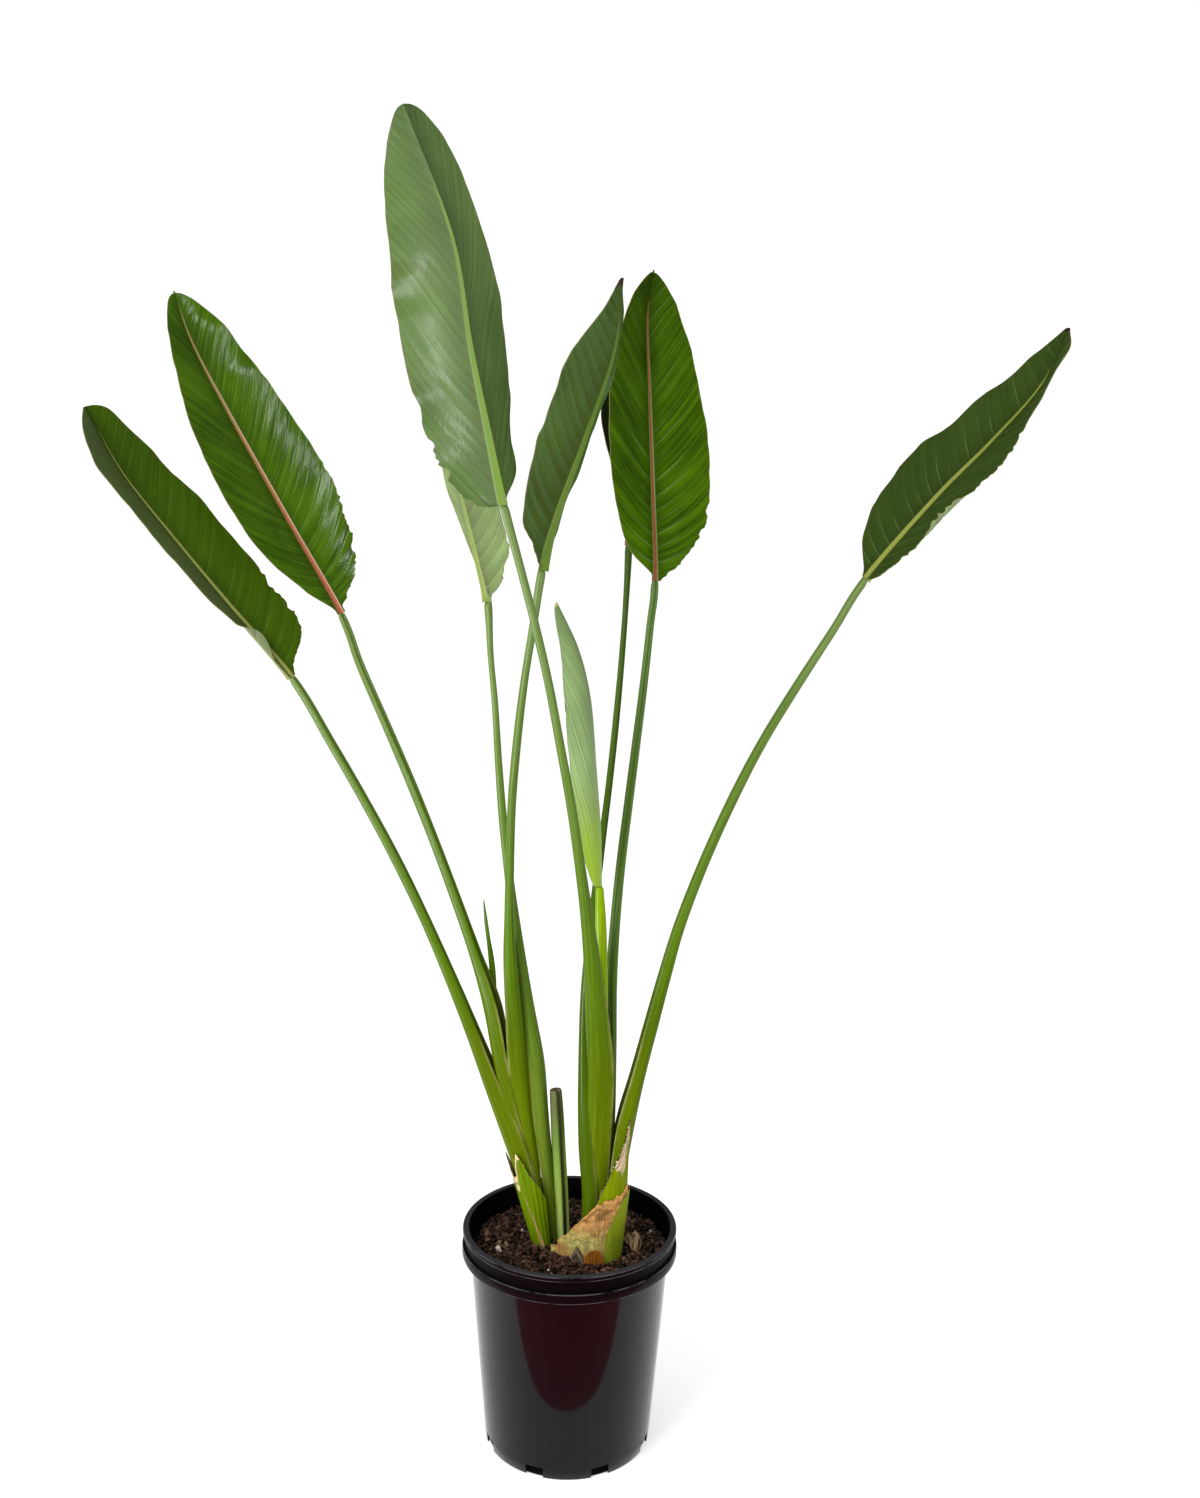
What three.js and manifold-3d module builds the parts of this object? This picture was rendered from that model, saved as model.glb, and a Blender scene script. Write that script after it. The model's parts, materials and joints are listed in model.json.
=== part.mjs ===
// A potted bird of paradise: two fans of long-stalked leaves in a round nursery pot.
// Millimetres, +Z up. The origin is the centre of the pot's foot, on the ground,
// and the front of the plant looks along -Y.

import * as THREE from 'three';
import { mergeVertices } from 'three/addons/utils/BufferGeometryUtils.js';
import Module from 'manifold-3d';

const wasm = await Module();
wasm.setup();

// Clearance between pieces that touch
const GAP = 0.3;

// Pot
const POT_HEIGHT = 235;
const POT_SEGMENTS = 48;
const FOOT_RADIUS = 87.5;
const WALL_TOP_RADIUS = 104.4;
const WALL_THICKNESS = 2.4;
const BAND_LOW = 206;
const BAND_HIGH = 217;
const BAND_RADIUS = 112.6;
const RECESS_RADIUS = 109;
const BEAD_LOW = 229;
const RIM_RADIUS = 112;
const LIP_INNER_RADIUS = 105;
const FLOOR_UNDER = 8;
const FLOOR_TOP = 10.5;
const NOTCH_COUNT = 8;
const NOTCH_WIDTH = 19;
const NOTCH_HEIGHT = 11.2;
const NOTCH_DEPTH = 20;
const NOTCH_TURN = 0.023;

// Soil
const SOIL_TOP = 213;
const SOIL_RINGS = 8;
const SOIL_SEGMENTS = 40;
const SOIL_GRAIN = 1.6;
const HOLE_FLOOR = 190;
const LEFT_HOLE = { x: -22, y: 2, across: 25, deep: 20 };
const RIGHT_HOLE = { x: 26, y: -22, across: 38.5, deep: 26 };

// Leaves
const BLADE_THICKNESS = 1.0;
const BLADE_RINGS = 21;
const STALK_RINGS = 17;
const BACK_SIDES = 6;
const RIB_HALF_WIDTH = 3.2;
const RIB_DEPTH = 7.5;
const RIB_DEPTH_AT_TIP = 1.2;
const BLADE_BASE_HALF_WIDTH = 4.6;
const BLADE_TIP_HALF_WIDTH = 1.4;
const SHEATH_LIP = 1.6;
const WRAP_THICKNESS = 1.7;
const WRAP_STEP = 9;
const WRAP_ROWS = 3;

// Colours from the light and dark greens of the leaves to the dry brown sheaths
const COLOURS = {
  potPlastic: 0x1c0d12,
  soil: 0x3b2a24,
  bladeUpper: 0x2f5c1c,
  bladeUnder: 0x5b8350,
  stalk: 0x5f8a35,
  sheath: 0x7aa01e,
  oldSheath: 0x86a83a,
  brownSheath: 0xa8763c,
  drySheath: 0xcbb892,
  cutGreen: 0x6e8c3c,
};

// Every leaf: its stalk from the soil up, then its midrib from the blade's base to the tip.
// A stalk row is x, y, z, its size along the channel's direction, its size across it, and
// how open its channel is: 1 is a clasping sheath, 0 a nearly round stalk.
// Half widths are at ten steps along the midrib, closer together towards its ends.
// open is the way the channel faces at the foot, face the way the blade's upper side
// faces at its base and tip. fold and curl are the angles of each half: how steeply it
// rises from the midrib, and how much it turns on its way to the edge.
const LEAVES = {
  far_left: {
    stalk: [
      [-32, 2, 189, 9, 24, 1],
      [-39.5, 2, 259, 16, 23, 1],
      [-57, 2, 321, 23.5, 24, 1],
      [-82, 5, 385, 19, 22, 0.9],
      [-102.5, 8, 438, 15.5, 17, 0.5],
      [-123.5, 11, 490, 13.5, 14, 0.1],
      [-151, 17, 552, 11.2, 11.5, 0],
      [-181, 23, 613, 11, 11, 0],
      [-214, 28, 674, 10, 10.5, 0],
      [-251, 34, 737, 9.5, 10, 0],
    ],
    rib: [[-291, 40, 802], [-355, 45, 875], [-409, 50, 939], [-462, 57, 1005], [-497, 60, 1069]],
    right: [10, 44, 51, 52, 52, 47, 39, 29, 19],
    left: [6, 11, 22, 33, 37, 41, 43, 34, 13],
    open: [1, 0, 0],
    face: [[0.62, -0.53, 0.59], [0.78, -0.48, 0.39]],
    fold: 30,
    curl: -16,
    ripple: 1,
    ragged: { side: 'left', to: 0.15, depth: 3 },
    seen: 'upper',
  },
  left: {
    stalk: [
      [-26, 3, 189, 8, 20, 1],
      [-35, 3, 258, 12, 21, 1],
      [-49, 3, 314, 16, 22, 1],
      [-64, 3, 364, 17, 22, 1],
      [-74, 4, 418, 18, 20, 1],
      [-84, 6, 471, 18, 19, 0.9],
      [-101, 12, 522, 12.6, 14, 0.3],
      [-120, 20, 573, 11.6, 11.5, 0],
      [-144, 31, 633, 10.6, 10.6, 0],
      [-170, 44, 693, 10.5, 10.5, 0],
      [-198, 58, 753, 9.5, 10, 0],
      [-227, 74, 813, 9, 9.5, 0],
    ],
    rib: [[-249, 90, 864], [-305, 105, 958], [-370, 125, 1068], [-410, 138, 1141], [-431, 150, 1195]],
    right: [9, 37, 56, 61, 54, 43, 36, 24, 10],
    left: [7, 29, 52, 60, 52, 37, 25, 17, 9],
    open: [1, 0, 0],
    face: [[0.38, -0.85, 0.36], [0.46, -0.81, 0.35]],
    fold: 28,
    curl: -16,
    ripple: 1.2,
    ragged: { side: 'right', to: 0.35, depth: 3.5 },
    seen: 'upper',
  },
  small: {
    stalk: [
      [-14, 6, 189, 7, 18, 1],
      [-21, 6, 264, 12, 19, 1],
      [-27, 6, 313, 14.5, 20, 1],
      [-32, 6, 357, 16.5, 20, 1],
      [-37, 6, 411, 17.5, 18, 1],
      [-47, 7, 471, 14.2, 15, 0.7],
      [-57, 9, 534, 12.2, 12, 0.2],
      [-66, 11, 597, 10.1, 10, 0],
      [-73, 12, 659, 9.1, 9.1, 0],
      [-78, 14, 720, 8, 8, 0],
      [-82, 15, 781, 6.6, 7, 0],
      [-87, 17, 832, 6.2, 6.6, 0],
    ],
    rib: [[-90, 18, 883], [-98, 16, 918], [-110, 10, 968], [-124, 0, 1029], [-137, -14, 1100]],
    right: [6, 7, 8, 13, 27, 34, 32, 20, 8],
    left: [6, 18, 29, 38, 39, 38, 32, 17, 6],
    open: [-1, 0, 0],
    face: [[0.67, 0.71, 0.21], [0.67, 0.70, 0.26]],
    fold: 25,
    curl: -16,
    ripple: 1,
    ragged: { side: 'left', to: 0.4, depth: 3 },
    seen: 'under',
  },
  leaning: {
    stalk: [
      [-20, 1, 189, 7, 16, 1],
      [-33, 1, 259, 12, 16, 1],
      [-41, 1, 304, 16, 16, 1],
      [-50, 1, 359, 20, 17, 1],
      [-56, 0, 413, 20, 17, 1],
      [-60, -2, 468, 17, 16, 0.9],
      [-64, -6, 522, 14, 13, 0.5],
      [-65, -13, 572, 10.1, 10.5, 0],
      [-64, -21, 626, 8.9, 9, 0],
      [-62, -30, 688, 8.8, 9, 0],
      [-57, -38, 749, 8.7, 9, 0],
      [-50, -46, 809, 7.8, 8, 0],
      [-41, -53, 867, 7.9, 8, 0],
    ],
    rib: [[-33, -60, 918], [-21, -65, 967], [5, -80, 1038], [30, -100, 1112], [37, -120, 1173]],
    right: [5, 15, 33, 44, 50, 50, 40, 17, 6],
    left: [5, 15, 32, 43, 50, 50, 42, 20, 8],
    open: [-1, 0, 0],
    face: [[-0.84, 0.5, 0.22], [-0.88, 0.45, 0.17]],
    fold: 30,
    curl: -16,
    ripple: 1,
    ragged: { side: 'right', to: 0.2, depth: 2.5 },
    seen: 'under',
  },
  tall: {
    stalk: [
      [22, -20, 189, 10, 22, 1],
      [27, -21, 271, 21, 22, 1],
      [28, -23, 344, 24, 22, 1],
      [29, -26, 410, 26, 22, 1],
      [24, -34, 476, 22, 20, 0.9],
      [19, -40, 530, 17, 16, 0.6],
      [13, -48, 583, 12.7, 13, 0.2],
      [6, -56, 635, 10.6, 11, 0],
      [-3, -67, 696, 9.4, 10, 0],
      [-14, -76, 756, 8.6, 9, 0],
      [-25, -85, 814, 8.2, 8.6, 0],
      [-38, -93, 870, 8, 8.4, 0],
      [-52, -102, 924, 7.6, 8.2, 0],
    ],
    rib: [[-66, -110, 977], [-79, -119, 1040], [-93, -135, 1111], [-107, -157, 1198], [-145, -180, 1297]],
    right: [26, 41, 52, 57, 59, 59, 52, 35, 15],
    left: [8, 29, 34, 46, 56, 52, 46, 42, 26],
    open: [1, 0.2, 0],
    face: [[-0.53, 0.85, -0.05], [-0.50, 0.86, -0.07]],
    fold: 36,
    curl: -16,
    ripple: 1.2,
    ragged: { side: 'right', to: 0.3, depth: 3.5 },
    seen: 'under',
  },
  upright: {
    stalk: [
      [38, -16, 189, 8, 12, 0.6],
      [39, -16, 247, 12, 13, 0.6],
      [38, -15, 312, 12.4, 13.5, 0.6],
      [39, -11, 371, 13.4, 14, 0.6],
      [39, -5, 434, 14, 14, 0.5],
      [39, 2, 496, 12.3, 13, 0.2],
      [42, 13, 556, 11.2, 11.2, 0],
      [47, 25, 616, 9.6, 10.4, 0],
      [54, 38, 677, 9.2, 10, 0],
      [61, 51, 737, 9.2, 9.6, 0],
      [68, 63, 798, 8.4, 9, 0],
      [74, 76, 859, 8.2, 8.6, 0],
    ],
    rib: [[78, 85, 903], [74, 103, 996], [69, 125, 1100], [66, 140, 1175], [72, 150, 1224]],
    right: [13, 40, 58, 60, 53, 43, 33, 21, 9],
    left: [5, 37, 54, 60, 58, 43, 27, 16, 7],
    open: [-0.4, -1, 0],
    face: [[0.34, -0.92, 0.19], [0.39, -0.91, 0.13]],
    fold: 31,
    curl: -16,
    ripple: 1,
    ragged: { side: 'right', to: 0.25, depth: 3.5 },
    seen: 'upper',
  },
  back: {
    stalk: [
      [14, -20, 189, 8, 30, 1],
      [21, -19, 270, 17, 31, 1],
      [17, -19, 325, 18, 30, 1],
      [14, -16, 377, 15, 26, 1],
      [13, -9, 429, 13, 20, 0.8],
      [13, 1, 479, 11.3, 14, 0.4],
      [16, 12, 528, 10.5, 11.3, 0],
      [21, 27, 577, 9.4, 9.7, 0],
      [27, 45, 632, 8.2, 8.6, 0],
      [34, 66, 692, 7.3, 8, 0],
      [40, 87, 753, 7.3, 7.8, 0],
      [45, 107, 814, 6.6, 7.2, 0],
      [49, 127, 877, 6.4, 7, 0],
    ],
    rib: [[51, 137, 939], [48, 145, 986], [45, 155, 1061], [48, 163, 1139], [60, 168, 1190]],
    right: [6, 19, 35, 48, 55, 51, 42, 28, 13],
    left: [4, 8, 13, 24, 44, 40, 30, 20, 10],
    open: [1, 0, 0],
    face: [[0.55, -0.81, 0.2], [0.61, -0.79, 0.01]],
    fold: 28,
    curl: -16,
    ripple: 1,
    ragged: { side: 'right', to: 0.2, depth: 2.5 },
    seen: 'upper',
  },
  far_right: {
    stalk: [
      [40, -22, 189, 9, 20, 1],
      [43, -21, 245, 15, 24, 1],
      [48.5, -19, 299, 18, 25, 1],
      [56, -15, 352, 20, 24, 0.9],
      [68, -11, 404, 16, 21, 0.7],
      [81, -5, 456, 15, 18, 0.5],
      [94, 2, 507, 14, 15, 0.2],
      [108.3, 9, 558, 12.4, 12.5, 0],
      [131, 18, 619, 11.2, 11.6, 0],
      [158, 27, 681, 10.8, 11.2, 0],
      [188.6, 36, 742, 9.8, 10.4, 0],
      [225, 45, 803, 9.5, 9.8, 0],
      [261, 53, 860, 8.6, 9, 0],
    ],
    rib: [[292, 60, 910], [364, 78, 993], [420, 90, 1050], [471, 102, 1109], [498, 112, 1167]],
    right: [24, 42, 58, 60, 50, 24, 13, 20, 8],
    left: [11, 38, 58, 63, 55, 48, 36, 19, 7],
    open: [-1, 0, 0],
    face: [[-0.6, -0.52, 0.62], [-0.82, -0.44, 0.36]],
    fold: 24,
    curl: -16,
    ripple: 1.2,
    ragged: { side: 'right', to: 0.6, depth: 4 },
    seen: 'upper',
  },
  young: {
    stalk: [
      [33, -20, 189, 6, 8, 0.2],
      [33, -20, 260, 7, 9, 0.2],
      [33, -20, 390, 8, 9, 0.2],
      [31, -17, 464, 8, 9, 0.2],
      [28.5, -14, 522, 8, 9, 0.2],
      [27, -11, 565, 8, 8.6, 0.1],
    ],
    rib: [[25.5, -6, 600], [24, -4, 658], [19, -6, 724], [13, -10, 790], [1, -18, 840], [-20, -26, 886]],
    right: [12, 22, 30, 37, 39, 36, 28, 17, 8],
    left: [10, 19, 28, 35, 37, 34, 26, 15, 7],
    open: [-0.7, 0.7, 0],
    face: [[-0.9, -0.3, -0.1], [-0.85, -0.3, -0.3]],
    fold: 4,
    curl: 165,
    ripple: 0,
    ribScale: 0.4,
    seen: 'under',
  },
};

// Fan by fan, each stalk is trimmed to stay clear of the ones named before it
const LEFT_FAN = ['far_left', 'small', 'left', 'leaning'];
const RIGHT_FAN = ['back', 'tall', 'far_right', 'upright', 'young'];

// Old leaf bases wrap round a fan's foot. An edge is angle, height pairs: angles are in
// degrees, anticlockwise from +X seen from above, so -90 is the front.
const OLD_SHEATHS = {
  cut_sheath_left: {
    centre: [-28, 1],
    lean: -0.18,
    flare: 0.11,
    across: 11.5,
    deep: 16,
    bottom: 190.5,
    top: [[-215, 285], [-196, 305], [-182, 313], [-168, 300], [-152, 289], [-135, 291],
      [-118, 318], [-108, 313], [-90, 295], [-70, 284], [-45, 268]],
    colour: 'sheath',
  },
  old_sheath_right: {
    centre: [30, -22],
    lean: 0.025,
    flare: 0,
    across: 27.3,
    deep: 20,
    bottom: 190.5,
    top: [[-132, 240], [-117, 260], [-100, 277], [-88, 291], [-71, 311], [-59, 323], [-40, 336],
      [-22, 352], [-10, 352], [10, 330], [35, 306], [60, 290], [85, 270]],
    colour: 'oldSheath',
  },
  outer_base: {
    centre: [26, -22],
    lean: 0,
    flare: 0,
    across: 35.5,
    deep: 23,
    bottom: 190.5,
    top: [[-182, 222], [-165, 224], [-145, 230], [-120, 238], [-100, 237], [-84, 232], [-70, 244],
      [-55, 262], [-40, 276], [-20, 284], [8, 286], [35, 266], [60, 246]],
    colour: 'oldSheath',
  },
  dry_scale: {
    centre: [26, -22],
    lean: 0,
    flare: 0,
    across: 37.9,
    deep: 25.4,
    bottom: 190.5,
    top: [[-110, 216], [-104, 223], [-95, 228], [-86, 227], [-78, 221], [-74, 216]],
    colour: 'drySheath',
  },
};
const BROWN_BAND_TOP = [[-164, 232], [-145, 241], [-120, 256], [-100, 270], [-84, 279], [-70, 282],
  [-55, 284], [-40, 287], [-20, 294]];

// A chip of bark half buried beside the right fan: its outline, middle and lean
const CHIP_OUTLINE = [[-8, -8], [-3, -9], [4, -8.5], [9, -6], [8, 2], [5, 9], [-2, 8], [-7, 5]];
const CHIP_THICKNESS = 3;
const CHIP_CENTRE = [71, -14, 218];
const CHIP_LEAN = 1.05;

// A seeded draw, so that the part is the same each time
function seededRandom(seed) {
  let state = seed;
  return () => {
    state = (state * 1664525 + 1013904223) % 4294967296;
    return state / 4294967296;
  };
}

const { lerp } = THREE.MathUtils;
const vector = (values) => new THREE.Vector3(...values);

// Reads a list of [position, value] pairs as a straight-sided graph
function along(pairs, position) {
  for (let i = 1; i < pairs.length; i += 1) {
    const [from, low] = pairs[i - 1];
    const [to, high] = pairs[i];
    if (position <= to) {
      return lerp(low, high, Math.max(0, (position - from) / (to - from)));
    }
  }
  return pairs[pairs.length - 1][1];
}

// A smooth curve through values, read at a place from 0 to values.length - 1
function smooth(values, place) {
  const last = values.length - 1;
  const i = Math.min(Math.floor(place), last - 1);
  const f = place - i;
  const [b, c] = [values[i], values[i + 1]];
  const a = i > 0 ? values[i - 1] : 2 * b - c;
  const d = i + 2 <= last ? values[i + 2] : 2 * c - b;
  const slope = c - a;
  const bend = 2 * a - 5 * b + 4 * c - d;
  const twist = 3 * b - a - 3 * c + d;
  return 0.5 * (2 * b + slope * f + bend * f * f + twist * f * f * f);
}

function meshGeometry(points, triangles) {
  const geometry = new THREE.BufferGeometry();
  const positions = new Float32Array(points.flatMap((p) => [p.x, p.y, p.z]));
  geometry.setAttribute('position', new THREE.BufferAttribute(positions, 3));
  geometry.setIndex(triangles.flat());
  return geometry;
}

function signedVolume(points, triangles) {
  const cross = new THREE.Vector3();
  return triangles.reduce(
    (sum, [a, b, c]) => sum + points[a].dot(cross.crossVectors(points[b], points[c])) / 6,
    0,
  );
}

// Fills an outline with triangles that run round the same way as the outline does
function capTriangles(outline) {
  const way = Math.sign(THREE.ShapeUtils.area(outline));
  return THREE.ShapeUtils.triangulateShape(outline, []).map((triangle) => {
    const area = THREE.ShapeUtils.area(triangle.map((k) => outline[k]));
    return Math.sign(area) === way ? triangle : triangle.reverse();
  });
}

// The same for a thin ring whose second half runs back beside its first half
function ladderCap(count) {
  const triangles = [];
  for (let k = 0; k + 1 < count / 2; k += 1) {
    triangles.push([k, k + 1, count - 2 - k], [k, count - 2 - k, count - 1 - k]);
  }
  return triangles;
}

// Joins rings of equal length into one closed skin between two end caps; turned says
// which strips are split along the other diagonal
function loft(rings, firstCap, lastCap, turned = () => false) {
  const sides = rings[0].length;
  const points = rings.flat();
  const triangles = [];
  for (let i = 0; i + 1 < rings.length; i += 1) {
    for (let k = 0; k < sides; k += 1) {
      const a = i * sides + k;
      const b = i * sides + (k + 1) % sides;
      const [c, d] = [b + sides, a + sides];
      if (turned(k)) {
        triangles.push([a, b, d], [b, c, d]);
      } else {
        triangles.push([a, b, c], [a, c, d]);
      }
    }
  }
  const last = (rings.length - 1) * sides;
  firstCap.forEach(([a, b, c]) => triangles.push([c, b, a]));
  lastCap.forEach(([a, b, c]) => triangles.push([last + a, last + b, last + c]));
  return orientedOutwards(points, triangles);
}

function orientedOutwards(points, triangles) {
  if (signedVolume(points, triangles) < 0) {
    triangles.forEach((triangle) => triangle.reverse());
  }
  return meshGeometry(points, triangles);
}

function toManifold(geometry) {
  const bare = geometry.clone();
  bare.deleteAttribute('normal');
  bare.deleteAttribute('uv');
  const merged = mergeVertices(bare, 1e-5);
  return new wasm.Manifold(new wasm.Mesh({
    numProp: 3,
    vertProperties: new Float32Array(merged.attributes.position.array),
    triVerts: new Uint32Array(merged.index.array),
  }));
}

// The largest body of a solid, with crumbs left by a cut dropped
function toGeometry(solid) {
  const bodies = solid.decompose();
  bodies.sort((a, b) => b.volume() - a.volume());
  const mesh = bodies[0].getMesh();
  const geometry = new THREE.BufferGeometry();
  geometry.setAttribute('position', new THREE.BufferAttribute(mesh.vertProperties, 3));
  geometry.setIndex(new THREE.BufferAttribute(mesh.triVerts, 1));
  return geometry;
}

function finish(colour, roughness = 0.5, metalness = 0) {
  return new THREE.MeshStandardMaterial({ color: colour, roughness, metalness, side: THREE.DoubleSide });
}

function piece(name, geometry, material) {
  const mesh = new THREE.Mesh(geometry, material);
  mesh.name = name;
  return mesh;
}

// The pot: a turned wall with a banded rim, cut by the drainage slots at its foot
function potGeometry() {
  const wallAt = (z) => lerp(FOOT_RADIUS, WALL_TOP_RADIUS, z / BAND_LOW);
  const innerAt = (z) => wallAt(z) - WALL_THICKNESS;
  const profile = [
    [0, FLOOR_UNDER],
    [innerAt(FLOOR_UNDER), FLOOR_UNDER],
    [innerAt(0), 0],
    [FOOT_RADIUS, 0],
    [wallAt(BAND_LOW - 1), BAND_LOW - 1],
    [BAND_RADIUS - 1, BAND_LOW],
    [BAND_RADIUS, BAND_LOW + 1.5],
    [BAND_RADIUS, BAND_HIGH - 1.5],
    [BAND_RADIUS - 1, BAND_HIGH],
    [RECESS_RADIUS, BAND_HIGH],
    [RECESS_RADIUS, BEAD_LOW],
    [RIM_RADIUS - 0.8, BEAD_LOW],
    [RIM_RADIUS, BEAD_LOW + 1],
    [RIM_RADIUS, POT_HEIGHT - 1.2],
    [RIM_RADIUS - 1.2, POT_HEIGHT],
    [LIP_INNER_RADIUS + 1, POT_HEIGHT],
    [LIP_INNER_RADIUS, POT_HEIGHT - 1.5],
    [innerAt(BAND_LOW), BAND_LOW],
    [innerAt(FLOOR_TOP), FLOOR_TOP],
    [0, FLOOR_TOP],
  ];
  const outline = profile.map(([r, z]) => new THREE.Vector2(r, z));
  const turned = new THREE.LatheGeometry(outline, POT_SEGMENTS).rotateX(Math.PI / 2);
  let solid = toManifold(turned);
  for (let i = 0; i < NOTCH_COUNT; i += 1) {
    const notch = new THREE.BoxGeometry(NOTCH_WIDTH, NOTCH_DEPTH, 2 * NOTCH_HEIGHT);
    notch.translate(0, -(FOOT_RADIUS - NOTCH_DEPTH / 2 + 8), 0);
    notch.rotateZ(NOTCH_TURN + (i + 0.5) * 2 * Math.PI / NOTCH_COUNT);
    solid = solid.subtract(toManifold(notch));
  }
  return toGeometry(solid);
}

function holeTool(hole) {
  const tool = new THREE.CylinderGeometry(1, 1, 80, 28).rotateX(Math.PI / 2);
  tool.scale(hole.across, hole.deep, 1);
  tool.translate(hole.x, hole.y, HOLE_FLOOR + 40);
  return tool;
}

// The soil: a plug that fills the pot, with a crumbly top and a plain hole for each fan
function soilGeometry() {
  const random = seededRandom(7);
  const radiusAt = (z) => lerp(FOOT_RADIUS, WALL_TOP_RADIUS, z / BAND_LOW) - WALL_THICKNESS - GAP;
  const rings = [[0.001, FLOOR_TOP + GAP], [radiusAt(FLOOR_TOP), FLOOR_TOP + GAP]];
  const edge = radiusAt(SOIL_TOP) - 0.4;
  rings.push([edge, SOIL_TOP - 2]);
  for (let i = 1; i < SOIL_RINGS; i += 1) {
    rings.push([edge * (1 - i / SOIL_RINGS), null]);
  }
  const points = [new THREE.Vector3(0, 0, FLOOR_TOP + GAP)];
  rings.slice(1).forEach(([radius, height], ring) => {
    for (let k = 0; k < SOIL_SEGMENTS; k += 1) {
      const angle = 2 * Math.PI * (k + (ring % 2) * 0.5) / SOIL_SEGMENTS;
      const grain = SOIL_GRAIN * (2 * random() - 1);
      const mound = 3 * (1 - (radius / edge) ** 2);
      const z = height ?? SOIL_TOP + mound + grain;
      points.push(new THREE.Vector3(radius * Math.cos(angle), radius * Math.sin(angle), z));
    }
  });
  points.push(new THREE.Vector3(0, 0, SOIL_TOP + 3));
  const triangles = [];
  const at = (ring, k) => 1 + ring * SOIL_SEGMENTS + (k % SOIL_SEGMENTS);
  const ringCount = rings.length - 1;
  for (let k = 0; k < SOIL_SEGMENTS; k += 1) {
    triangles.push([0, at(0, k + 1), at(0, k)]);
    for (let ring = 0; ring + 1 < ringCount; ring += 1) {
      const ahead = ring % 2;
      if (ahead) {
        triangles.push([at(ring, k), at(ring, k + 1), at(ring + 1, k + 1)]);
        triangles.push([at(ring, k), at(ring + 1, k + 1), at(ring + 1, k)]);
      } else {
        triangles.push([at(ring, k), at(ring, k + 1), at(ring + 1, k)]);
        triangles.push([at(ring, k + 1), at(ring + 1, k + 1), at(ring + 1, k)]);
      }
    }
    triangles.push([at(ringCount - 1, k), at(ringCount - 1, k + 1), points.length - 1]);
  }
  const plug = toManifold(orientedOutwards(points, triangles));
  const hollows = [holeTool(LEFT_HOLE), holeTool(RIGHT_HOLE), chipGeometry(GAP)];
  return toGeometry(hollows.reduce((solid, hollow) => solid.subtract(toManifold(hollow)), plug));
}

// A leaf's centre line runs on from the stalk into the midrib, so that both meet squarely
function centreLine(leaf) {
  const feet = leaf.stalk.map((row) => vector(row.slice(0, 3)));
  const line = new THREE.CatmullRomCurve3([...feet, ...leaf.rib.map(vector)], false, 'catmullrom', 0.5);
  const spans = feet.length + leaf.rib.length - 1;
  return { line, junction: feet.length / spans };
}

// Right-handed axes at a place on the line: along it, towards facing, and across both
function axesAt(line, place, facing) {
  const forward = line.getTangent(place).normalize();
  const up = facing.clone().addScaledVector(forward, -facing.dot(forward)).normalize();
  return { forward, up, side: new THREE.Vector3().crossVectors(forward, up) };
}

// A stalk's cross section: round at the back, with a channel in front between two margins.
// x runs across, y towards the channel.
function stalkSection(wide, deep, open, grow) {
  const [back, half] = [wide / 2 + grow, deep / 2 + grow];
  const outline = [];
  for (let k = 0; k <= BACK_SIDES; k += 1) {
    const angle = Math.PI * (k / BACK_SIDES - 0.5);
    outline.push(new THREE.Vector2(half * Math.sin(angle), -back * Math.cos(angle)));
  }
  const margin = lerp(0.62, 0.92, open) * half;
  const crest = lerp(0.9, 1, open) * back;
  const lip = lerp(0.2 * deep, SHEATH_LIP, open) + 2 * grow;
  const wall = Math.max(3, 0.28 * wide);
  const bed = lerp(0.4 * wide - 0.6, -wide / 2 + wall, open) + grow;
  const inner = Math.max(margin - lip, 0.4);
  const shoulder = lerp(bed, crest, 0.25);
  outline.push(new THREE.Vector2(margin, crest));
  outline.push(new THREE.Vector2(inner, crest - 0.2));
  outline.push(new THREE.Vector2(0.7 * inner, shoulder));
  outline.push(new THREE.Vector2(0, bed));
  outline.push(new THREE.Vector2(-0.7 * inner, shoulder));
  outline.push(new THREE.Vector2(-inner, crest - 0.2));
  outline.push(new THREE.Vector2(-margin, crest));
  return outline;
}

function stalkGeometry(leaf, grow = 0) {
  const { line, junction } = centreLine(leaf);
  const [openWay, upperWay] = [vector(leaf.open), vector(leaf.face[0])];
  const steps = leaf.stalk.length;
  const topRow = [leaf.rib[0], [8.4, 9, 0]].flat();
  const rows = [...leaf.stalk, topRow];
  const rings = [];
  const outlines = [];
  for (let i = 0; i < STALK_RINGS; i += 1) {
    const share = i / (STALK_RINGS - 1);
    const row = share * steps;
    const facing = openWay.clone().lerp(upperWay, share ** 1.5);
    const { forward, up, side } = axesAt(line, share * junction, facing);
    const centre = line.getPoint(share * junction);
    if (i === STALK_RINGS - 1) {
      centre.addScaledVector(forward, -GAP);
    }
    const [wide, deep, open] = [3, 4, 5].map((column) => smooth(rows.map((r) => r[column]), row));
    const outline = stalkSection(wide, deep, THREE.MathUtils.clamp(open, 0, 1), grow);
    outlines.push(outline);
    rings.push(outline.map((p) => centre.clone().addScaledVector(side, p.x).addScaledVector(up, p.y)));
  }
  return loft(rings, capTriangles(outlines[0]), capTriangles(outlines[STALK_RINGS - 1]));
}

// How far out and up a point of a blade's half lies when the half rises at fold degrees
// and turns by curl degrees on its way to the edge
function halfArc(width, share, fold, curl) {
  const start = THREE.MathUtils.degToRad(fold);
  const turn = THREE.MathUtils.degToRad(curl);
  const angle = start + turn * share;
  return {
    out: width * (Math.sin(angle) - Math.sin(start)) / turn,
    rise: width * (Math.cos(start) - Math.cos(angle)) / turn,
    angle,
  };
}

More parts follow.
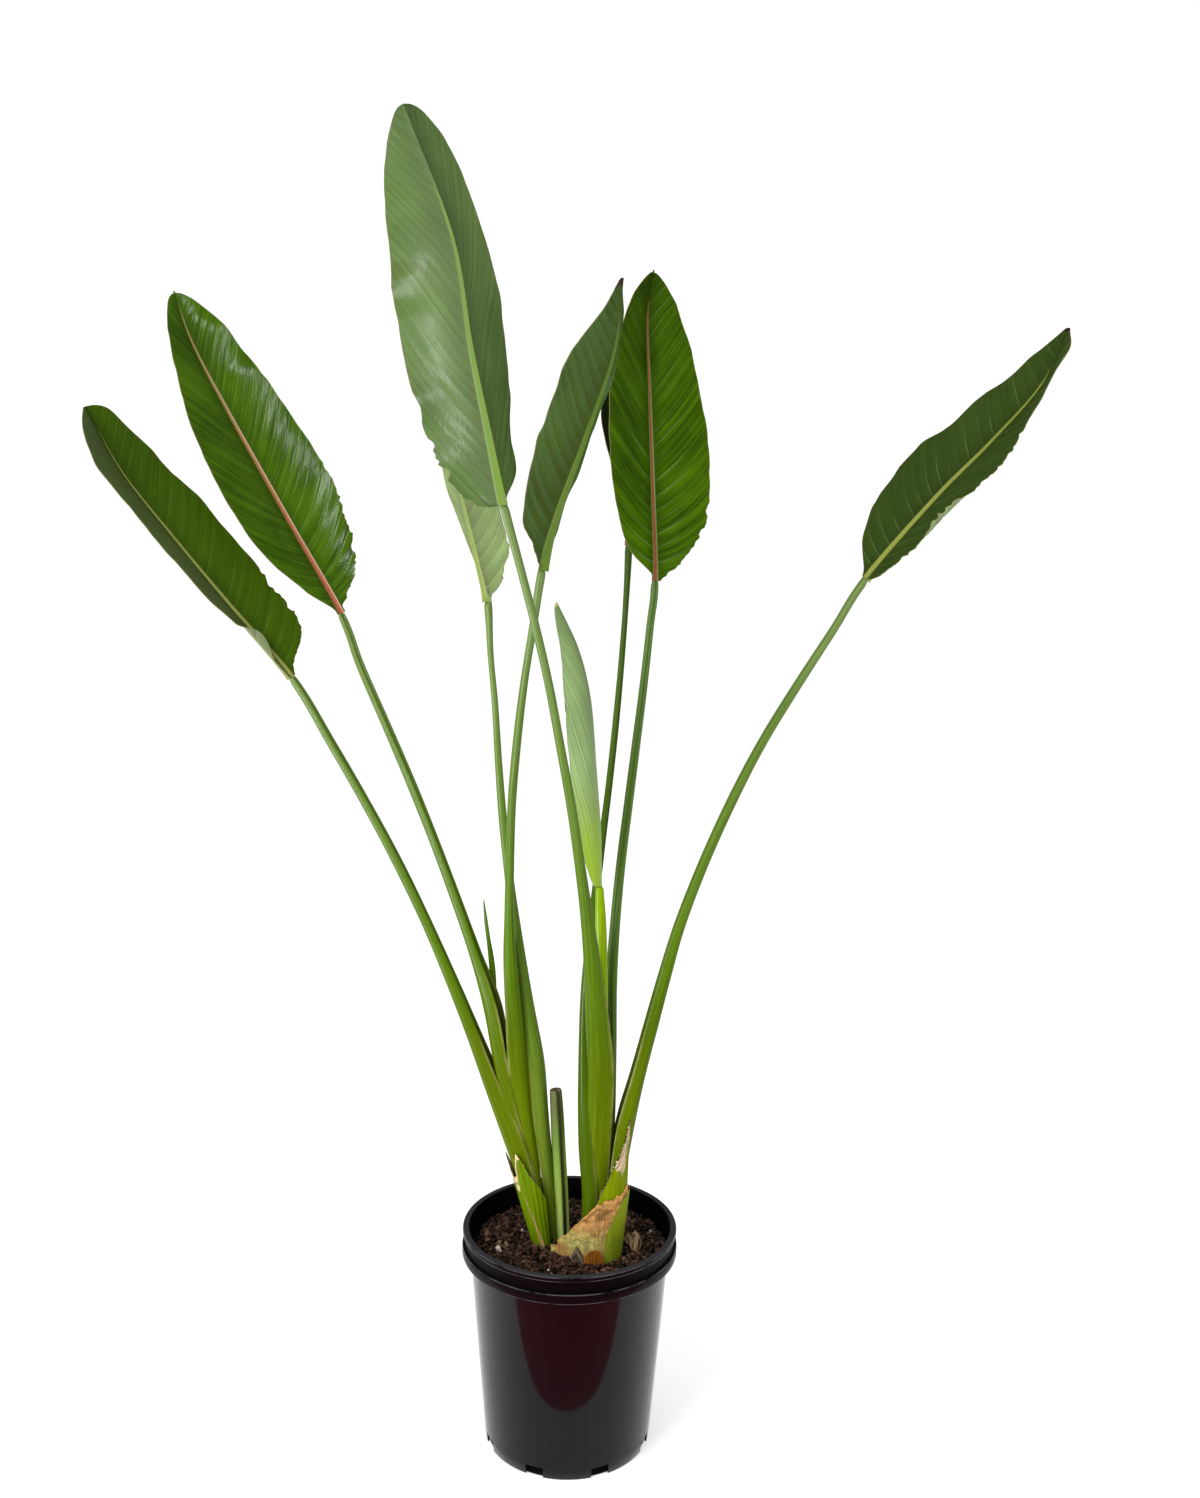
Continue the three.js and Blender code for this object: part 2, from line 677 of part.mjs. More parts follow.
// A blade: one arched ring across the leaf at each step along the midrib
function bladeGeometry(leaf, seed) {
  const { line, junction } = centreLine(leaf);
  const random = seededRandom(seed);
  const phase = 6.3 * random();
  const faces = leaf.face.map(vector);
  const half = BLADE_THICKNESS / 2;
  const rings = [];
  for (let i = 0; i < BLADE_RINGS; i += 1) {
    const even = i / (BLADE_RINGS - 1);
    const t = lerp(even, (1 - Math.cos(Math.PI * even)) / 2, 0.6);
    const place = junction + t * (1 - junction);
    const centre = line.getPoint(place);
    const { up, side } = axesAt(line, place, faces[0].clone().lerp(faces[1], t));
    const station = 10 * Math.acos(1 - 2 * t) / Math.PI;
    const floor = lerp(BLADE_BASE_HALF_WIDTH, BLADE_TIP_HALF_WIDTH, Math.min(1, 3 * t));
    const sides = [['right', 1], ['left', -1]].map(([name, sign]) => {
      const widths = [floor, ...leaf[name], BLADE_TIP_HALF_WIDTH];
      const torn = leaf.ragged?.side === name && t > 0.02 && t < leaf.ragged.to;
      const tooth = torn ? leaf.ragged.depth * (random() - 0.4) : 0;
      const width = Math.max(smooth(widths, station) - tooth, floor);
      const wave = leaf.ripple * Math.sin(26 * t + phase + sign) * Math.min(1, width / 30);
      return { sign, width, wave };
    });
    const ribHalf = (width) => Math.min(RIB_HALF_WIDTH, 0.45 * width);
    const top = [];
    const bottom = [];
    const lay = ({ sign, width, wave }, distance) => {
      const share = distance / width;
      const arc = halfArc(width, share, leaf.fold, leaf.curl);
      const lift = arc.rise + wave * share * share;
      const normal = [-sign * Math.sin(arc.angle) * half, Math.cos(arc.angle) * half];
      top.push(new THREE.Vector2(sign * arc.out + normal[0], lift + normal[1]));
      bottom.push(new THREE.Vector2(sign * arc.out - normal[0], lift - normal[1]));
    };
    const [right, left] = sides;
    const steps = ({ width }) => [ribHalf(width), (ribHalf(width) + width) / 2, width];
    steps(left).reverse().forEach((distance) => lay(left, distance));
    top.push(new THREE.Vector2(0, half));
    bottom.push(new THREE.Vector2(0, -(leaf.ribScale ?? 1) * lerp(RIB_DEPTH, RIB_DEPTH_AT_TIP, t ** 0.7)));
    steps(right).forEach((distance) => lay(right, distance));
    const outline = [...top, ...bottom.reverse()];
    rings.push(outline.map((p) => centre.clone().addScaledVector(side, p.x).addScaledVector(up, p.y)));
  }
  const count = rings[0].length;
  const cap = ladderCap(count);
  return loft(rings, cap, cap, (k) => k >= count / 2);
}

// An old leaf base: a thin curved wall round a fan, from its bottom edge to its ragged top
function wrapGeometry(wrap, grow = 0) {
  const from = wrap.top[0][0];
  const to = wrap.top[wrap.top.length - 1][0];
  const steps = Math.ceil((to - from) / WRAP_STEP);
  const angles = Array.from({ length: steps + 1 }, (_, i) => lerp(from, to, i / steps));
  angles[0] -= 4 * grow;
  angles[steps] += 4 * grow;
  const column = (angle, inset) => {
    const low = wrap.bottomEdge ? along(wrap.bottomEdge, angle) + 2 * GAP : wrap.bottom;
    const high = along(wrap.top, angle) + grow;
    const turn = THREE.MathUtils.degToRad(angle);
    const points = [];
    for (let i = 0; i <= WRAP_ROWS; i += 1) {
      const z = lerp(low, high, i / WRAP_ROWS);
      const rise = z - SOIL_TOP;
      const across = wrap.across + wrap.flare * rise - inset;
      points.push(new THREE.Vector3(
        wrap.centre[0] + wrap.lean * rise + across * Math.cos(turn),
        wrap.centre[1] + (wrap.deep - inset) * Math.sin(turn),
        z,
      ));
    }
    return points;
  };
  const rings = angles.map((angle) => [
    ...column(angle, -grow),
    ...column(angle, WRAP_THICKNESS + grow).reverse(),
  ]);
  const cap = ladderCap(rings[0].length);
  return loft(rings, cap, cap);
}

// The bark chip: a thin slab with a broken outline, leaning back on the soil
function chipGeometry(grow = 0) {
  const swell = 1 + grow / 6;
  const shape = new THREE.Shape(CHIP_OUTLINE.map(([x, y]) => new THREE.Vector2(x * swell, y * swell)));
  const slab = new THREE.ExtrudeGeometry(shape, { depth: CHIP_THICKNESS + 2 * grow, bevelEnabled: false });
  slab.translate(0, 0, -CHIP_THICKNESS / 2 - grow);
  return slab.rotateX(CHIP_LEAN).translate(...CHIP_CENTRE);
}

// The cut stub: a short stalk sawn off level, its channel facing the right fan
const STUB = {
  stalk: [
    [-6, 5, 189, 11, 12, 0.5],
    [-9.7, 5, 260, 12.5, 13, 0.6],
    [-13.4, 6, 320, 12.5, 12.5, 0.8],
    [-15, 6, 350, 11.5, 12, 0.8],
  ],
  rib: [[-17, 6, 380]],
  open: [0.9, -0.5, 0],
  face: [[0.9, -0.5, 0]],
};

// The spear: the next leaf, still rolled tight, rising from its neighbour's sheath
const SPEAR = [[-81.5, 15, 478, 3], [-85, 20, 513, 2.8], [-90.5, 25, 548, 2], [-94, 29, 575, 0.5]];

function spearGeometry() {
  const line = new THREE.CatmullRomCurve3(SPEAR.map((row) => vector(row.slice(0, 3))));
  const sides = 8;
  const steps = 8;
  const rings = [];
  const outlines = [];
  for (let i = 0; i <= steps; i += 1) {
    const share = i / steps;
    const radius = smooth(SPEAR.map((row) => row[3]), share * (SPEAR.length - 1));
    const { up, side } = axesAt(line, share, new THREE.Vector3(1, 0, 0));
    const centre = line.getPoint(share);
    const outline = [];
    for (let k = 0; k < sides; k += 1) {
      const angle = 2 * Math.PI * k / sides;
      outline.push(new THREE.Vector2(radius * Math.cos(angle), radius * Math.sin(angle)));
    }
    outlines.push(outline);
    rings.push(outline.map((p) => centre.clone().addScaledVector(side, p.x).addScaledVector(up, p.y)));
  }
  return loft(rings, capTriangles(outlines[0]), capTriangles(outlines[steps]));
}

const plant = new THREE.Group();
plant.add(piece('pot', potGeometry(), finish(COLOURS.potPlastic, 0.25)));
plant.add(piece('soil', soilGeometry(), finish(COLOURS.soil, 0.95)));

// Old leaf bases first: the stalks are trimmed to fit inside them. The brown band is the
// outer base's own dry upper part, so it stands on the base's edge.
const { outer_base: outerBase } = OLD_SHEATHS;
const wraps = {
  ...OLD_SHEATHS,
  brown_band: { ...outerBase, top: BROWN_BAND_TOP, bottomEdge: outerBase.top, colour: 'brownSheath' },
};
Object.entries(wraps).forEach(([name, wrap]) => {
  plant.add(piece(name, wrapGeometry(wrap), finish(COLOURS[wrap.colour], 0.7)));
});

// Cuts a stalk clear of its neighbours, and off level just above the floor of its hole
function trimmed(geometry, neighbours) {
  const ground = new THREE.BoxGeometry(400, 400, 40).translate(0, 0, HOLE_FLOOR + GAP - 20);
  const cutters = [toManifold(ground), ...neighbours];
  return toGeometry(cutters.reduce((rest, cutter) => rest.subtract(cutter), toManifold(geometry)));
}

function addFan(names, wrapNames, others) {
  const grown = wrapNames.map((name) => toManifold(wrapGeometry(wraps[name], GAP)));
  grown.push(...others);
  names.forEach((name, i) => {
    const leaf = LEAVES[name];
    plant.add(piece(`stalk_${name}`, trimmed(stalkGeometry(leaf), grown), finish(COLOURS.stalk, 0.45)));
    grown.push(toManifold(stalkGeometry(leaf, GAP)));
    const colour = leaf.seen === 'upper' ? COLOURS.bladeUpper : COLOURS.bladeUnder;
    plant.add(piece(`blade_${name}`, bladeGeometry(leaf, 11 + i), finish(colour, 0.35)));
  });
  return grown;
}

plant.add(piece('bark_chip', chipGeometry(), finish(COLOURS.drySheath, 0.9)));
plant.add(piece('cut_stub', trimmed(stalkGeometry(STUB), []), finish(COLOURS.cutGreen, 0.6)));
const leftFan = addFan(LEFT_FAN, ['cut_sheath_left'], [toManifold(stalkGeometry(STUB, GAP))]);
plant.add(piece('spear', trimmed(spearGeometry(), leftFan), finish(COLOURS.stalk, 0.45)));
addFan(RIGHT_FAN, ['old_sheath_right', 'outer_base', 'brown_band'], []);

export default plant;
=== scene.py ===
import json
import math

import bpy
import numpy as np
from mathutils import Matrix


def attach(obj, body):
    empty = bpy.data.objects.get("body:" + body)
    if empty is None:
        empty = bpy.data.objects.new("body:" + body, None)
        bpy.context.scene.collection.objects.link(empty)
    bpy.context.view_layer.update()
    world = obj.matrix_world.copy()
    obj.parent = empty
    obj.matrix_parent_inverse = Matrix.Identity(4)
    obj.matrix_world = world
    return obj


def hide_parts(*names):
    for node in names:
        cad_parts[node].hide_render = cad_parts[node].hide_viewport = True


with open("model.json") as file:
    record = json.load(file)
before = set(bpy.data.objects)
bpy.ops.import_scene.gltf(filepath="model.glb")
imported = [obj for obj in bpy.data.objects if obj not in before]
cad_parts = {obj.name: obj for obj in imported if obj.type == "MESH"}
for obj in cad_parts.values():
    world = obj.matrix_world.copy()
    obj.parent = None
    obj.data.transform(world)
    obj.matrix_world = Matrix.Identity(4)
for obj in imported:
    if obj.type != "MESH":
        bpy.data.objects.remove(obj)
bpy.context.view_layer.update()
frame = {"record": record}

MM = 0.001

# The plant's measures, in millimetres, from the pot's foot up
SOIL_TOP = 213
SOIL_CROWN = 3
SOIL_RADIUS = 101
SOIL_GAP = 0.5
POT_HEIGHT = 235
FOOT_RADIUS = 87.5
WALL_TOP_RADIUS = 104.4
WALL_THICKNESS = 2.4
BAND_LOW = 206
BAND_HIGH = 217
BAND_RADIUS = 112.6
RECESS_RADIUS = 109
BEAD_LOW = 229
RIM_RADIUS = 112
LIP_INNER_RADIUS = 105
FLOOR_UNDER = 8
FLOOR_TOP = 10.5
NOTCH_COUNT = 8
NOTCH_WIDTH = 19
NOTCH_HEIGHT = 11.2
NOTCH_DEPTH = 3
NOTCH_OVERSHOOT = 8
NOTCH_TURN = 0.023
SHEATH_LIP = 1.6
WRAP_FOOT = 191
WRAP_THICKNESS = 1.7
WAIST_HEIGHT = 70
STUB_TOP = 380
RIB_HALF_WIDTH = 3.2
RIB_DEPTH = 7.5
RIB_DEPTH_AT_TIP = 1.2
BLADE_HALF_THICKNESS = 0.4
BLADE_BASE_HALF_WIDTH = 4.6
BLADE_TIP_HALF_WIDTH = 1.0
VEIN_SPACING = 15
USUAL_CURL = -16
USUAL_STALK_TOP = (8.4, 9, 0)

# How finely the pieces are laid out
BLADE_ROWS = 170
HALF_STEPS = 17
STALK_ROWS = 60
WRAP_COLUMNS = 90
WRAP_ROWS = 26
SPEAR_SIDES = 16
CRUMB_COUNT = 4400

# Every leaf, in millimetres and degrees.
# stalk: from its foot in the soil up, x, y, z, the size the way the channel faces, the size
#     across it, and how open the channel is: 1 is a clasping sheath, 0 a nearly round stalk
# top: the last sizes and openness of a stalk that doesn't narrow into a blade
# rib: the midrib, from the blade's base to its tip
# right, left: half widths at nine places between the midrib's ends, closer together near them
# open: the way the channel faces at the foot
# face: the way the blade's upper side faces, at its base and its tip
# fold, curl: how steeply each half rises from the midrib, and how much that changes outwards
# ripple, pleat: how high the margin waves, and how high the blade folds at its side veins
# sweep: how far the side veins lean towards the tip, at the base and more along the blade
# ragged: a side, up to what share of its length the margin is torn, and how deeply
# roll: a side, where along it its margin rolls over, for how long, from what share of its
#     width outwards, and by how many degrees
# tears_right: single tears in that margin, each its place, half length and depth
# point: the last share of the blade, which is only its narrow point
# rib_scale: how deep the midrib is beside that of the other leaves
LEAVES = {
    "far_left": {
        "stalk": [
            (-32, 2, 189, 9, 24, 1), (-39.5, 2, 259, 16, 23, 1), (-57, 2, 321, 23.5, 24, 1),
            (-82, 5, 385, 19, 22, 0.9), (-102.5, 8, 438, 15.5, 17, 0.5),
            (-123.5, 11, 490, 13.5, 14, 0.1), (-151, 17, 552, 11.2, 11.5, 0),
            (-181, 23, 613, 11, 11, 0), (-214, 28, 674, 10, 10.5, 0), (-251, 34, 737, 9.5, 10, 0)],
        "rib": [(-291, 40, 802), (-355, 45, 875), (-409, 50, 939), (-462, 57, 1005), (-497, 60, 1069)],
        "right": [10, 44, 51, 52, 52, 47, 39, 29, 19], "left": [6, 11, 22, 33, 37, 41, 43, 34, 13],
        "open": (1, 0, 0), "face": [(0.62, -0.53, 0.59), (0.78, -0.48, 0.39)], "fold": 30, "ripple": 1,
        "pleat": 0.12, "sweep": (0.3, 0.9), "ragged": ("right", 0.3, 3.5),
        "roll": ("left", 0.12, 0.07, 0.3, 150)},
    "left": {
        "stalk": [
            (-26, 3, 189, 8, 20, 1), (-35, 3, 258, 12, 21, 1), (-49, 3, 314, 16, 22, 1),
            (-64, 3, 364, 17, 22, 1), (-74, 4, 418, 18, 20, 1), (-84, 6, 471, 18, 19, 0.9),
            (-101, 12, 522, 12.6, 14, 0.3), (-120, 20, 573, 11.6, 11.5, 0),
            (-144, 31, 633, 10.6, 10.6, 0), (-170, 44, 693, 10.5, 10.5, 0), (-198, 58, 753, 9.5, 10, 0),
            (-227, 74, 813, 9, 9.5, 0)],
        "rib": [(-249, 90, 864), (-305, 105, 958), (-370, 125, 1068), (-410, 138, 1141),
            (-431, 150, 1195)],
        "right": [9, 37, 56, 61, 54, 46, 37, 25, 11], "left": [7, 29, 52, 60, 52, 37, 25, 17, 9],
        "open": (1, 0, 0), "face": [(0.38, -0.85, 0.36), (0.46, -0.81, 0.35)], "fold": 28,
        "ripple": 1.2, "pleat": 0.26, "sweep": (0.1, 1.7), "ragged": ("right", 0.35, 3.5),
        "point": 0.012},
    "small": {
        "stalk": [
            (-14, 6, 189, 7, 18, 1), (-21, 6, 264, 12, 19, 1), (-27, 6, 313, 14.5, 20, 1),
            (-32, 6, 357, 16.5, 20, 1), (-37, 6, 411, 17.5, 18, 1), (-47, 7, 471, 14.2, 15, 0.7),
            (-57, 9, 534, 12.2, 12, 0.2), (-66, 11, 597, 10.1, 10, 0), (-73, 12, 659, 9.1, 9.1, 0),
            (-78, 14, 720, 8, 8, 0), (-82, 15, 781, 6.6, 7, 0), (-87, 17, 832, 6.2, 6.6, 0)],
        "rib": [(-90, 18, 883), (-98, 16, 918), (-110, 10, 968), (-124, 0, 1029), (-137, -14, 1100)],
        "right": [6, 7, 8, 13, 27, 34, 32, 20, 8], "left": [6, 18, 29, 38, 39, 38, 32, 17, 6],
        "open": (-1, 0, 0), "face": [(0.67, 0.71, 0.21), (0.67, 0.7, 0.26)], "fold": 25, "ripple": 1,
        "pleat": 0.2, "sweep": (0.5, 1.0), "ragged": ("left", 0.4, 3)},
    "leaning": {
        "stalk": [
            (-20, 1, 189, 7, 16, 1), (-33, 1, 259, 12, 16, 1), (-41, 1, 304, 16, 16, 1),
            (-50, 1, 359, 20, 17, 1), (-56, 0, 413, 20, 17, 1), (-60, -2, 468, 17, 16, 0.9),
            (-64, -6, 522, 14, 13, 0.5), (-65, -13, 572, 10.1, 10.5, 0), (-64, -21, 626, 8.9, 9, 0),
            (-62, -30, 688, 8.8, 9, 0), (-57, -38, 749, 8.7, 9, 0), (-50, -46, 809, 7.8, 8, 0),
            (-41, -53, 867, 7.9, 8, 0)],
        "rib": [(-33, -60, 918), (-21, -65, 967), (5, -80, 1038), (30, -100, 1112), (37, -120, 1173)],
        "right": [5, 15, 33, 44, 50, 50, 40, 17, 6], "left": [5, 15, 32, 43, 50, 50, 42, 20, 8],
        "open": (-1, 0, 0), "face": [(-0.84, 0.5, 0.22), (-0.88, 0.45, 0.17)], "fold": 30, "ripple": 1,
        "pleat": 0.55, "sweep": (0.5, 0.9), "ragged": ("right", 0.2, 2.5)},
    "tall": {
        "stalk": [
            (22, -20, 189, 10, 22, 1), (27, -21, 271, 21, 22, 1), (28, -23, 344, 24, 22, 1),
            (29, -26, 410, 26, 22, 1), (24, -34, 476, 22, 20, 0.9), (19, -40, 530, 17, 16, 0.6),
            (13, -48, 583, 12.7, 13, 0.2), (6, -56, 635, 10.6, 11, 0), (-3, -67, 696, 9.4, 10, 0),
            (-14, -76, 756, 8.6, 9, 0), (-25, -85, 814, 8.2, 8.6, 0), (-38, -93, 870, 8, 8.4, 0),
            (-52, -102, 924, 7.6, 8.2, 0)],
        "rib": [(-66, -110, 977), (-79, -119, 1040), (-93, -135, 1111), (-107, -157, 1198),
            (-145, -180, 1297)],
        "right": [26, 41, 52, 57, 59, 59, 52, 35, 15], "left": [8, 29, 34, 46, 56, 52, 46, 42, 26],
        "open": (1, 0.2, 0), "face": [(-0.53, 0.85, -0.05), (-0.5, 0.86, -0.07)], "fold": 36,
        "ripple": 1.2, "pleat": 0.3, "sweep": (1.2, 0.9), "ragged": ("right", 0.3, 3.5),
        "tears_right": [(98, 13, 4), (62, 10, 4), (38, 8, 5)]},
    "upright": {
        "stalk": [
            (38, -16, 189, 8, 12, 0.6), (39, -16, 247, 12, 13, 0.6), (38, -15, 312, 12.4, 13.5, 0.6),
            (39, -11, 371, 13.4, 14, 0.6), (39, -5, 434, 14, 14, 0.5), (39, 2, 496, 12.3, 13, 0.2),
            (42, 13, 556, 11.2, 11.2, 0), (47, 25, 616, 9.6, 10.4, 0), (54, 38, 677, 9.2, 10, 0),
            (61, 51, 737, 9.2, 9.6, 0), (68, 63, 798, 8.4, 9, 0), (74, 76, 859, 8.2, 8.6, 0)],
        "rib": [(78, 85, 903), (74, 103, 996), (69, 125, 1100), (66, 140, 1175), (72, 150, 1224)],
        "right": [13, 40, 58, 60, 53, 43, 33, 21, 9], "left": [5, 37, 54, 60, 58, 43, 27, 16, 7],
        "open": (-0.4, -1, 0), "face": [(0.34, -0.92, 0.19), (0.39, -0.91, 0.13)], "fold": 31,
        "ripple": 1, "pleat": 0.2, "sweep": (0.05, 1.7), "ragged": ("right", 0.25, 3.5), "point": 0.014},
    "back": {
        "stalk": [
            (14, -20, 189, 8, 30, 1), (21, -19, 270, 17, 31, 1), (17, -19, 325, 18, 30, 1),
            (14, -16, 377, 15, 26, 1), (13, -9, 429, 13, 20, 0.8), (13, 1, 479, 11.3, 14, 0.4),
            (16, 12, 528, 10.5, 11.3, 0), (21, 27, 577, 9.4, 9.7, 0), (27, 45, 632, 8.2, 8.6, 0),
            (34, 66, 692, 7.3, 8, 0), (40, 87, 753, 7.3, 7.8, 0), (45, 107, 814, 6.6, 7.2, 0),
            (49, 127, 877, 6.4, 7, 0)],
        "rib": [(51, 137, 939), (48, 145, 986), (45, 155, 1061), (48, 163, 1139), (60, 168, 1190)],
        "right": [6, 19, 35, 48, 55, 51, 42, 28, 13], "left": [4, 8, 13, 24, 44, 40, 30, 20, 10],
        "open": (1, 0, 0), "face": [(0.55, -0.81, 0.2), (0.61, -0.79, 0.01)], "fold": 28, "ripple": 1,
        "pleat": 0.15, "sweep": (0.5, 1.0), "ragged": ("right", 0.2, 2.5)},
    "far_right": {
        "stalk": [
            (40, -22, 189, 9, 20, 1), (43, -21, 245, 15, 24, 1), (48.5, -19, 299, 18, 25, 1),
            (56, -15, 352, 20, 24, 0.9), (68, -11, 404, 16, 21, 0.7), (81, -5, 456, 15, 18, 0.5),
            (94, 2, 507, 14, 15, 0.2), (108.3, 9, 558, 12.4, 12.5, 0), (131, 18, 619, 11.2, 11.6, 0),
            (158, 27, 681, 10.8, 11.2, 0), (188.6, 36, 742, 9.8, 10.4, 0), (225, 45, 803, 9.5, 9.8, 0),
            (261, 53, 860, 8.6, 9, 0)],
        "rib": [(292, 60, 910), (364, 78, 993), (420, 90, 1050), (471, 102, 1109), (498, 112, 1167)],
        "right": [24, 42, 58, 60, 50, 24, 13, 20, 8], "left": [11, 38, 58, 63, 55, 48, 36, 19, 7],
        "open": (-1, 0, 0), "face": [(-0.6, -0.52, 0.62), (-0.82, -0.44, 0.36)], "fold": 24,
        "ripple": 1.2, "pleat": 0.26, "sweep": (0.25, 0.6), "ragged": ("right", 0.6, 4),
        "roll": ("right", 0.19, 0.1, 0.84, 160)},
    "young": {
        "stalk": [
            (33, -20, 189, 6, 8, 0.2), (33, -20, 260, 7, 9, 0.2), (33, -20, 390, 8, 9, 0.2),
            (31, -17, 464, 11, 12, 0.2), (28.5, -14, 522, 13, 15, 0.2), (27, -11, 565, 12, 14, 0.1)],
        "rib": [(25.5, -6, 600), (24, -4, 658), (19, -6, 724), (13, -10, 790), (1, -18, 840),
            (-20, -26, 886)],
        "right": [12, 22, 30, 37, 39, 36, 28, 17, 8], "left": [10, 19, 28, 35, 37, 34, 26, 15, 7],
        "open": (-0.7, 0.7, 0), "face": [(-0.9, -0.3, -0.1), (-0.85, -0.3, -0.3)], "fold": 4,
        "curl": 165, "ripple": 0, "pleat": 0.1, "sweep": (4.0, 1.5), "rib_scale": 0.4},
}

# The old leaf bases round each fan's foot. Angles are in degrees, anticlockwise from the right
# seen from above, so -90 is the front.
# centre: the middle of the ring that a base stands on
# across, deep: the ring's half sizes, from side to side and from front to back
# lean, flare: how far the base leans to the right and widens for each millimetre of height
# top, bottom: its edges, as angle and height
# dry: how far down from its top a base is dry, as angle and depth
# seam: a brown seam, as height, angle and half its width in degrees
# tail: from what angle on, over how many degrees and how far a base runs out sideways
# waist: how far it is tucked in on the right at the soil
# frays: how deeply its top is torn
WRAPS = {
    "cut_sheath_left": {
        "centre": (-28, 1), "lean": -0.18, "flare": 0.11, "across": 11.5, "deep": 16,
        "top": [(-215, 285), (-196, 305), (-182, 313), (-168, 300), (-152, 289), (-135, 291),
                (-118, 318), (-108, 313), (-90, 295), (-70, 284), (-45, 268)],
        "dry": [(-215, 10), (-196, 18), (-180, 18), (-165, 12), (-150, 15), (-134, 14), (-120, 8),
                (-108, 0.3)],
        "seam": [(216, -84, 9), (232, -96, 6), (250, -108, 3), (268, -122, 2), (280, -132, 1)],
        "frays": 1.2,
    },
    "old_sheath_right": {
        "centre": (30, -22), "lean": 0.025, "across": 27.3, "deep": 20, "waist": 6.5,
        "top": [(-132, 240), (-117, 260), (-100, 277), (-88, 291), (-71, 311), (-59, 323), (-40, 336),
                (-24, 354), (-14, 364), (-8, 360), (10, 332), (35, 306), (60, 290), (85, 270)],
        "dry": [(-90, 0.8), (-62, 2), (-50, 15), (-36, 26), (-22, 40), (-8, 42), (8, 14), (20, 6)],
        "frays": 2.2,
    },
    "outer_base": {
        "centre": (26, -22), "across": 35.5, "deep": 23, "waist": 7,
        "top": [(-182, 222), (-165, 224), (-145, 230), (-120, 238), (-100, 237), (-84, 232), (-70, 244),
                (-55, 262), (-40, 276), (-20, 284), (8, 286), (35, 266), (60, 246)],
        "dry": [(-182, 1), (-20, 1), (60, 2)],
        "seam": [(214, -75, 3), (232, -74, 2.5), (244, -71, 1.5)],
        "tail": (-140, 42, 9.5),
        "frays": 0.1,
    },
    "dry_scale": {
        "centre": (26, -22), "across": 37.9, "deep": 25.4, "waist": 7,
        "top": [(-130, 216), (-126, 225), (-119, 232), (-113, 227), (-108, 219), (-105, 218),
                (-102, 225), (-97, 227), (-90, 230), (-82, 229), (-77, 224), (-74, 216)],
        "dry": [(-130, 2), (-74, 2)],
        "frays": 1,
    },
}
WRAPS["brown_band"] = {
    **WRAPS["outer_base"],
    "bottom": WRAPS["outer_base"]["top"],
    "top": [(-164, 232), (-145, 241), (-120, 256), (-100, 270), (-84, 279), (-70, 282),
            (-55, 284), (-40, 287), (-20, 294)],
    "dry": [(-164, 40), (-20, 40)],
    "seam": (),
    "frays": 2.4,
}

# The cut stub, given as a leaf is: its rib is only the point where it was cut
STUB = {
    "stalk": [(-6, 5, 189, 12, 14, 0.4), (-9.7, 5, 260, 14, 15, 0.4), (-13.4, 6, 320, 14, 14.5, 0.4),
              (-15, 6, 350, 13.5, 14, 0.4)],
    "top": (12, 13, 0.4),
    "rib": [(-17, 6, STUB_TOP)],
    "open": (0.72, -0.7, 0),
    "face": [(0.72, -0.7, 0)],
}
# The rolled spear: x, y, z and its radius
SPEAR = [(-81.5, 15, 478, 3), (-85, 20, 513, 2.8), (-90.5, 25, 548, 2), (-94, 29, 575, 0.5)]


# Curves and graphs

def smooth(values, places):
    """A smooth curve through rows of values, read at places from 0 to the last row."""
    values = np.asarray(values, float)
    if values.ndim == 1:
        return smooth(values[:, None], places)[:, 0]
    places = np.clip(np.asarray(places, float), 0, len(values) - 1)
    padded = np.vstack([2 * values[0] - values[1], values, 2 * values[-1] - values[-2]])
    i = np.minimum(places.astype(int), len(values) - 2)
    f = (places - i)[:, None]
    a, b, c, d = padded[i], padded[i + 1], padded[i + 2], padded[i + 3]
    slope, bend, twist = c - a, 2 * a - 5 * b + 4 * c - d, 3 * b - a - 3 * c + d
    return 0.5 * (2 * b + slope * f + bend * f ** 2 + twist * f ** 3)


def along(pairs, positions):
    """Reads (position, value) pairs as a straight-sided graph."""
    return np.interp(positions, [p[0] for p in pairs], [p[1] for p in pairs])


def unit(vectors):
    return vectors / np.linalg.norm(vectors, axis=-1, keepdims=True)


def lerp(a, b, share):
    return a + (b - a) * share


def wander(positions, spacing, seed):
    """A smooth seeded wander between -1 and 1 with about one turn each spacing."""
    positions = np.asarray(positions, float) / spacing
    low = math.floor(positions.min()) - 2
    knots = np.random.default_rng(seed).uniform(-1, 1, math.ceil(positions.max()) - low + 4)
    i = np.floor(positions).astype(int) - low
    f = positions - np.floor(positions)
    f = f * f * (3 - 2 * f)
    return knots[i] * (1 - f) + knots[i + 1] * f


def spine(leaf):
    """The line through a leaf's stalk and midrib, and how many of its points are the stalk's."""
    points = np.array([row[:3] for row in leaf["stalk"]] + list(leaf["rib"]), float)
    return points, len(leaf["stalk"])


def axes_at(points, places, facing):
    """Places on a leaf's spine, with the ways towards facing and across, both square to it."""
    step = 1e-3
    centre = smooth(points, places)
    forward = unit(smooth(points, places + step) - smooth(points, places - step))
    up = unit(facing - forward * np.sum(facing * forward, axis=1, keepdims=True))
    return centre, up, np.cross(forward, up)


def run_along(centre):
    """How far along a line of points each of them is."""
    return np.concatenate([[0], np.cumsum(np.linalg.norm(np.diff(centre, axis=0), axis=1))])


def there_and_back(values):
    """Columns across a piece's front, then the same ones back across its other side."""
    return np.concatenate([values, values[:, ::-1]], axis=1)


# Making pieces

def only(piece):
    bpy.ops.object.select_all(action="DESELECT")
    piece.select_set(True)
    bpy.context.view_layer.objects.active = piece


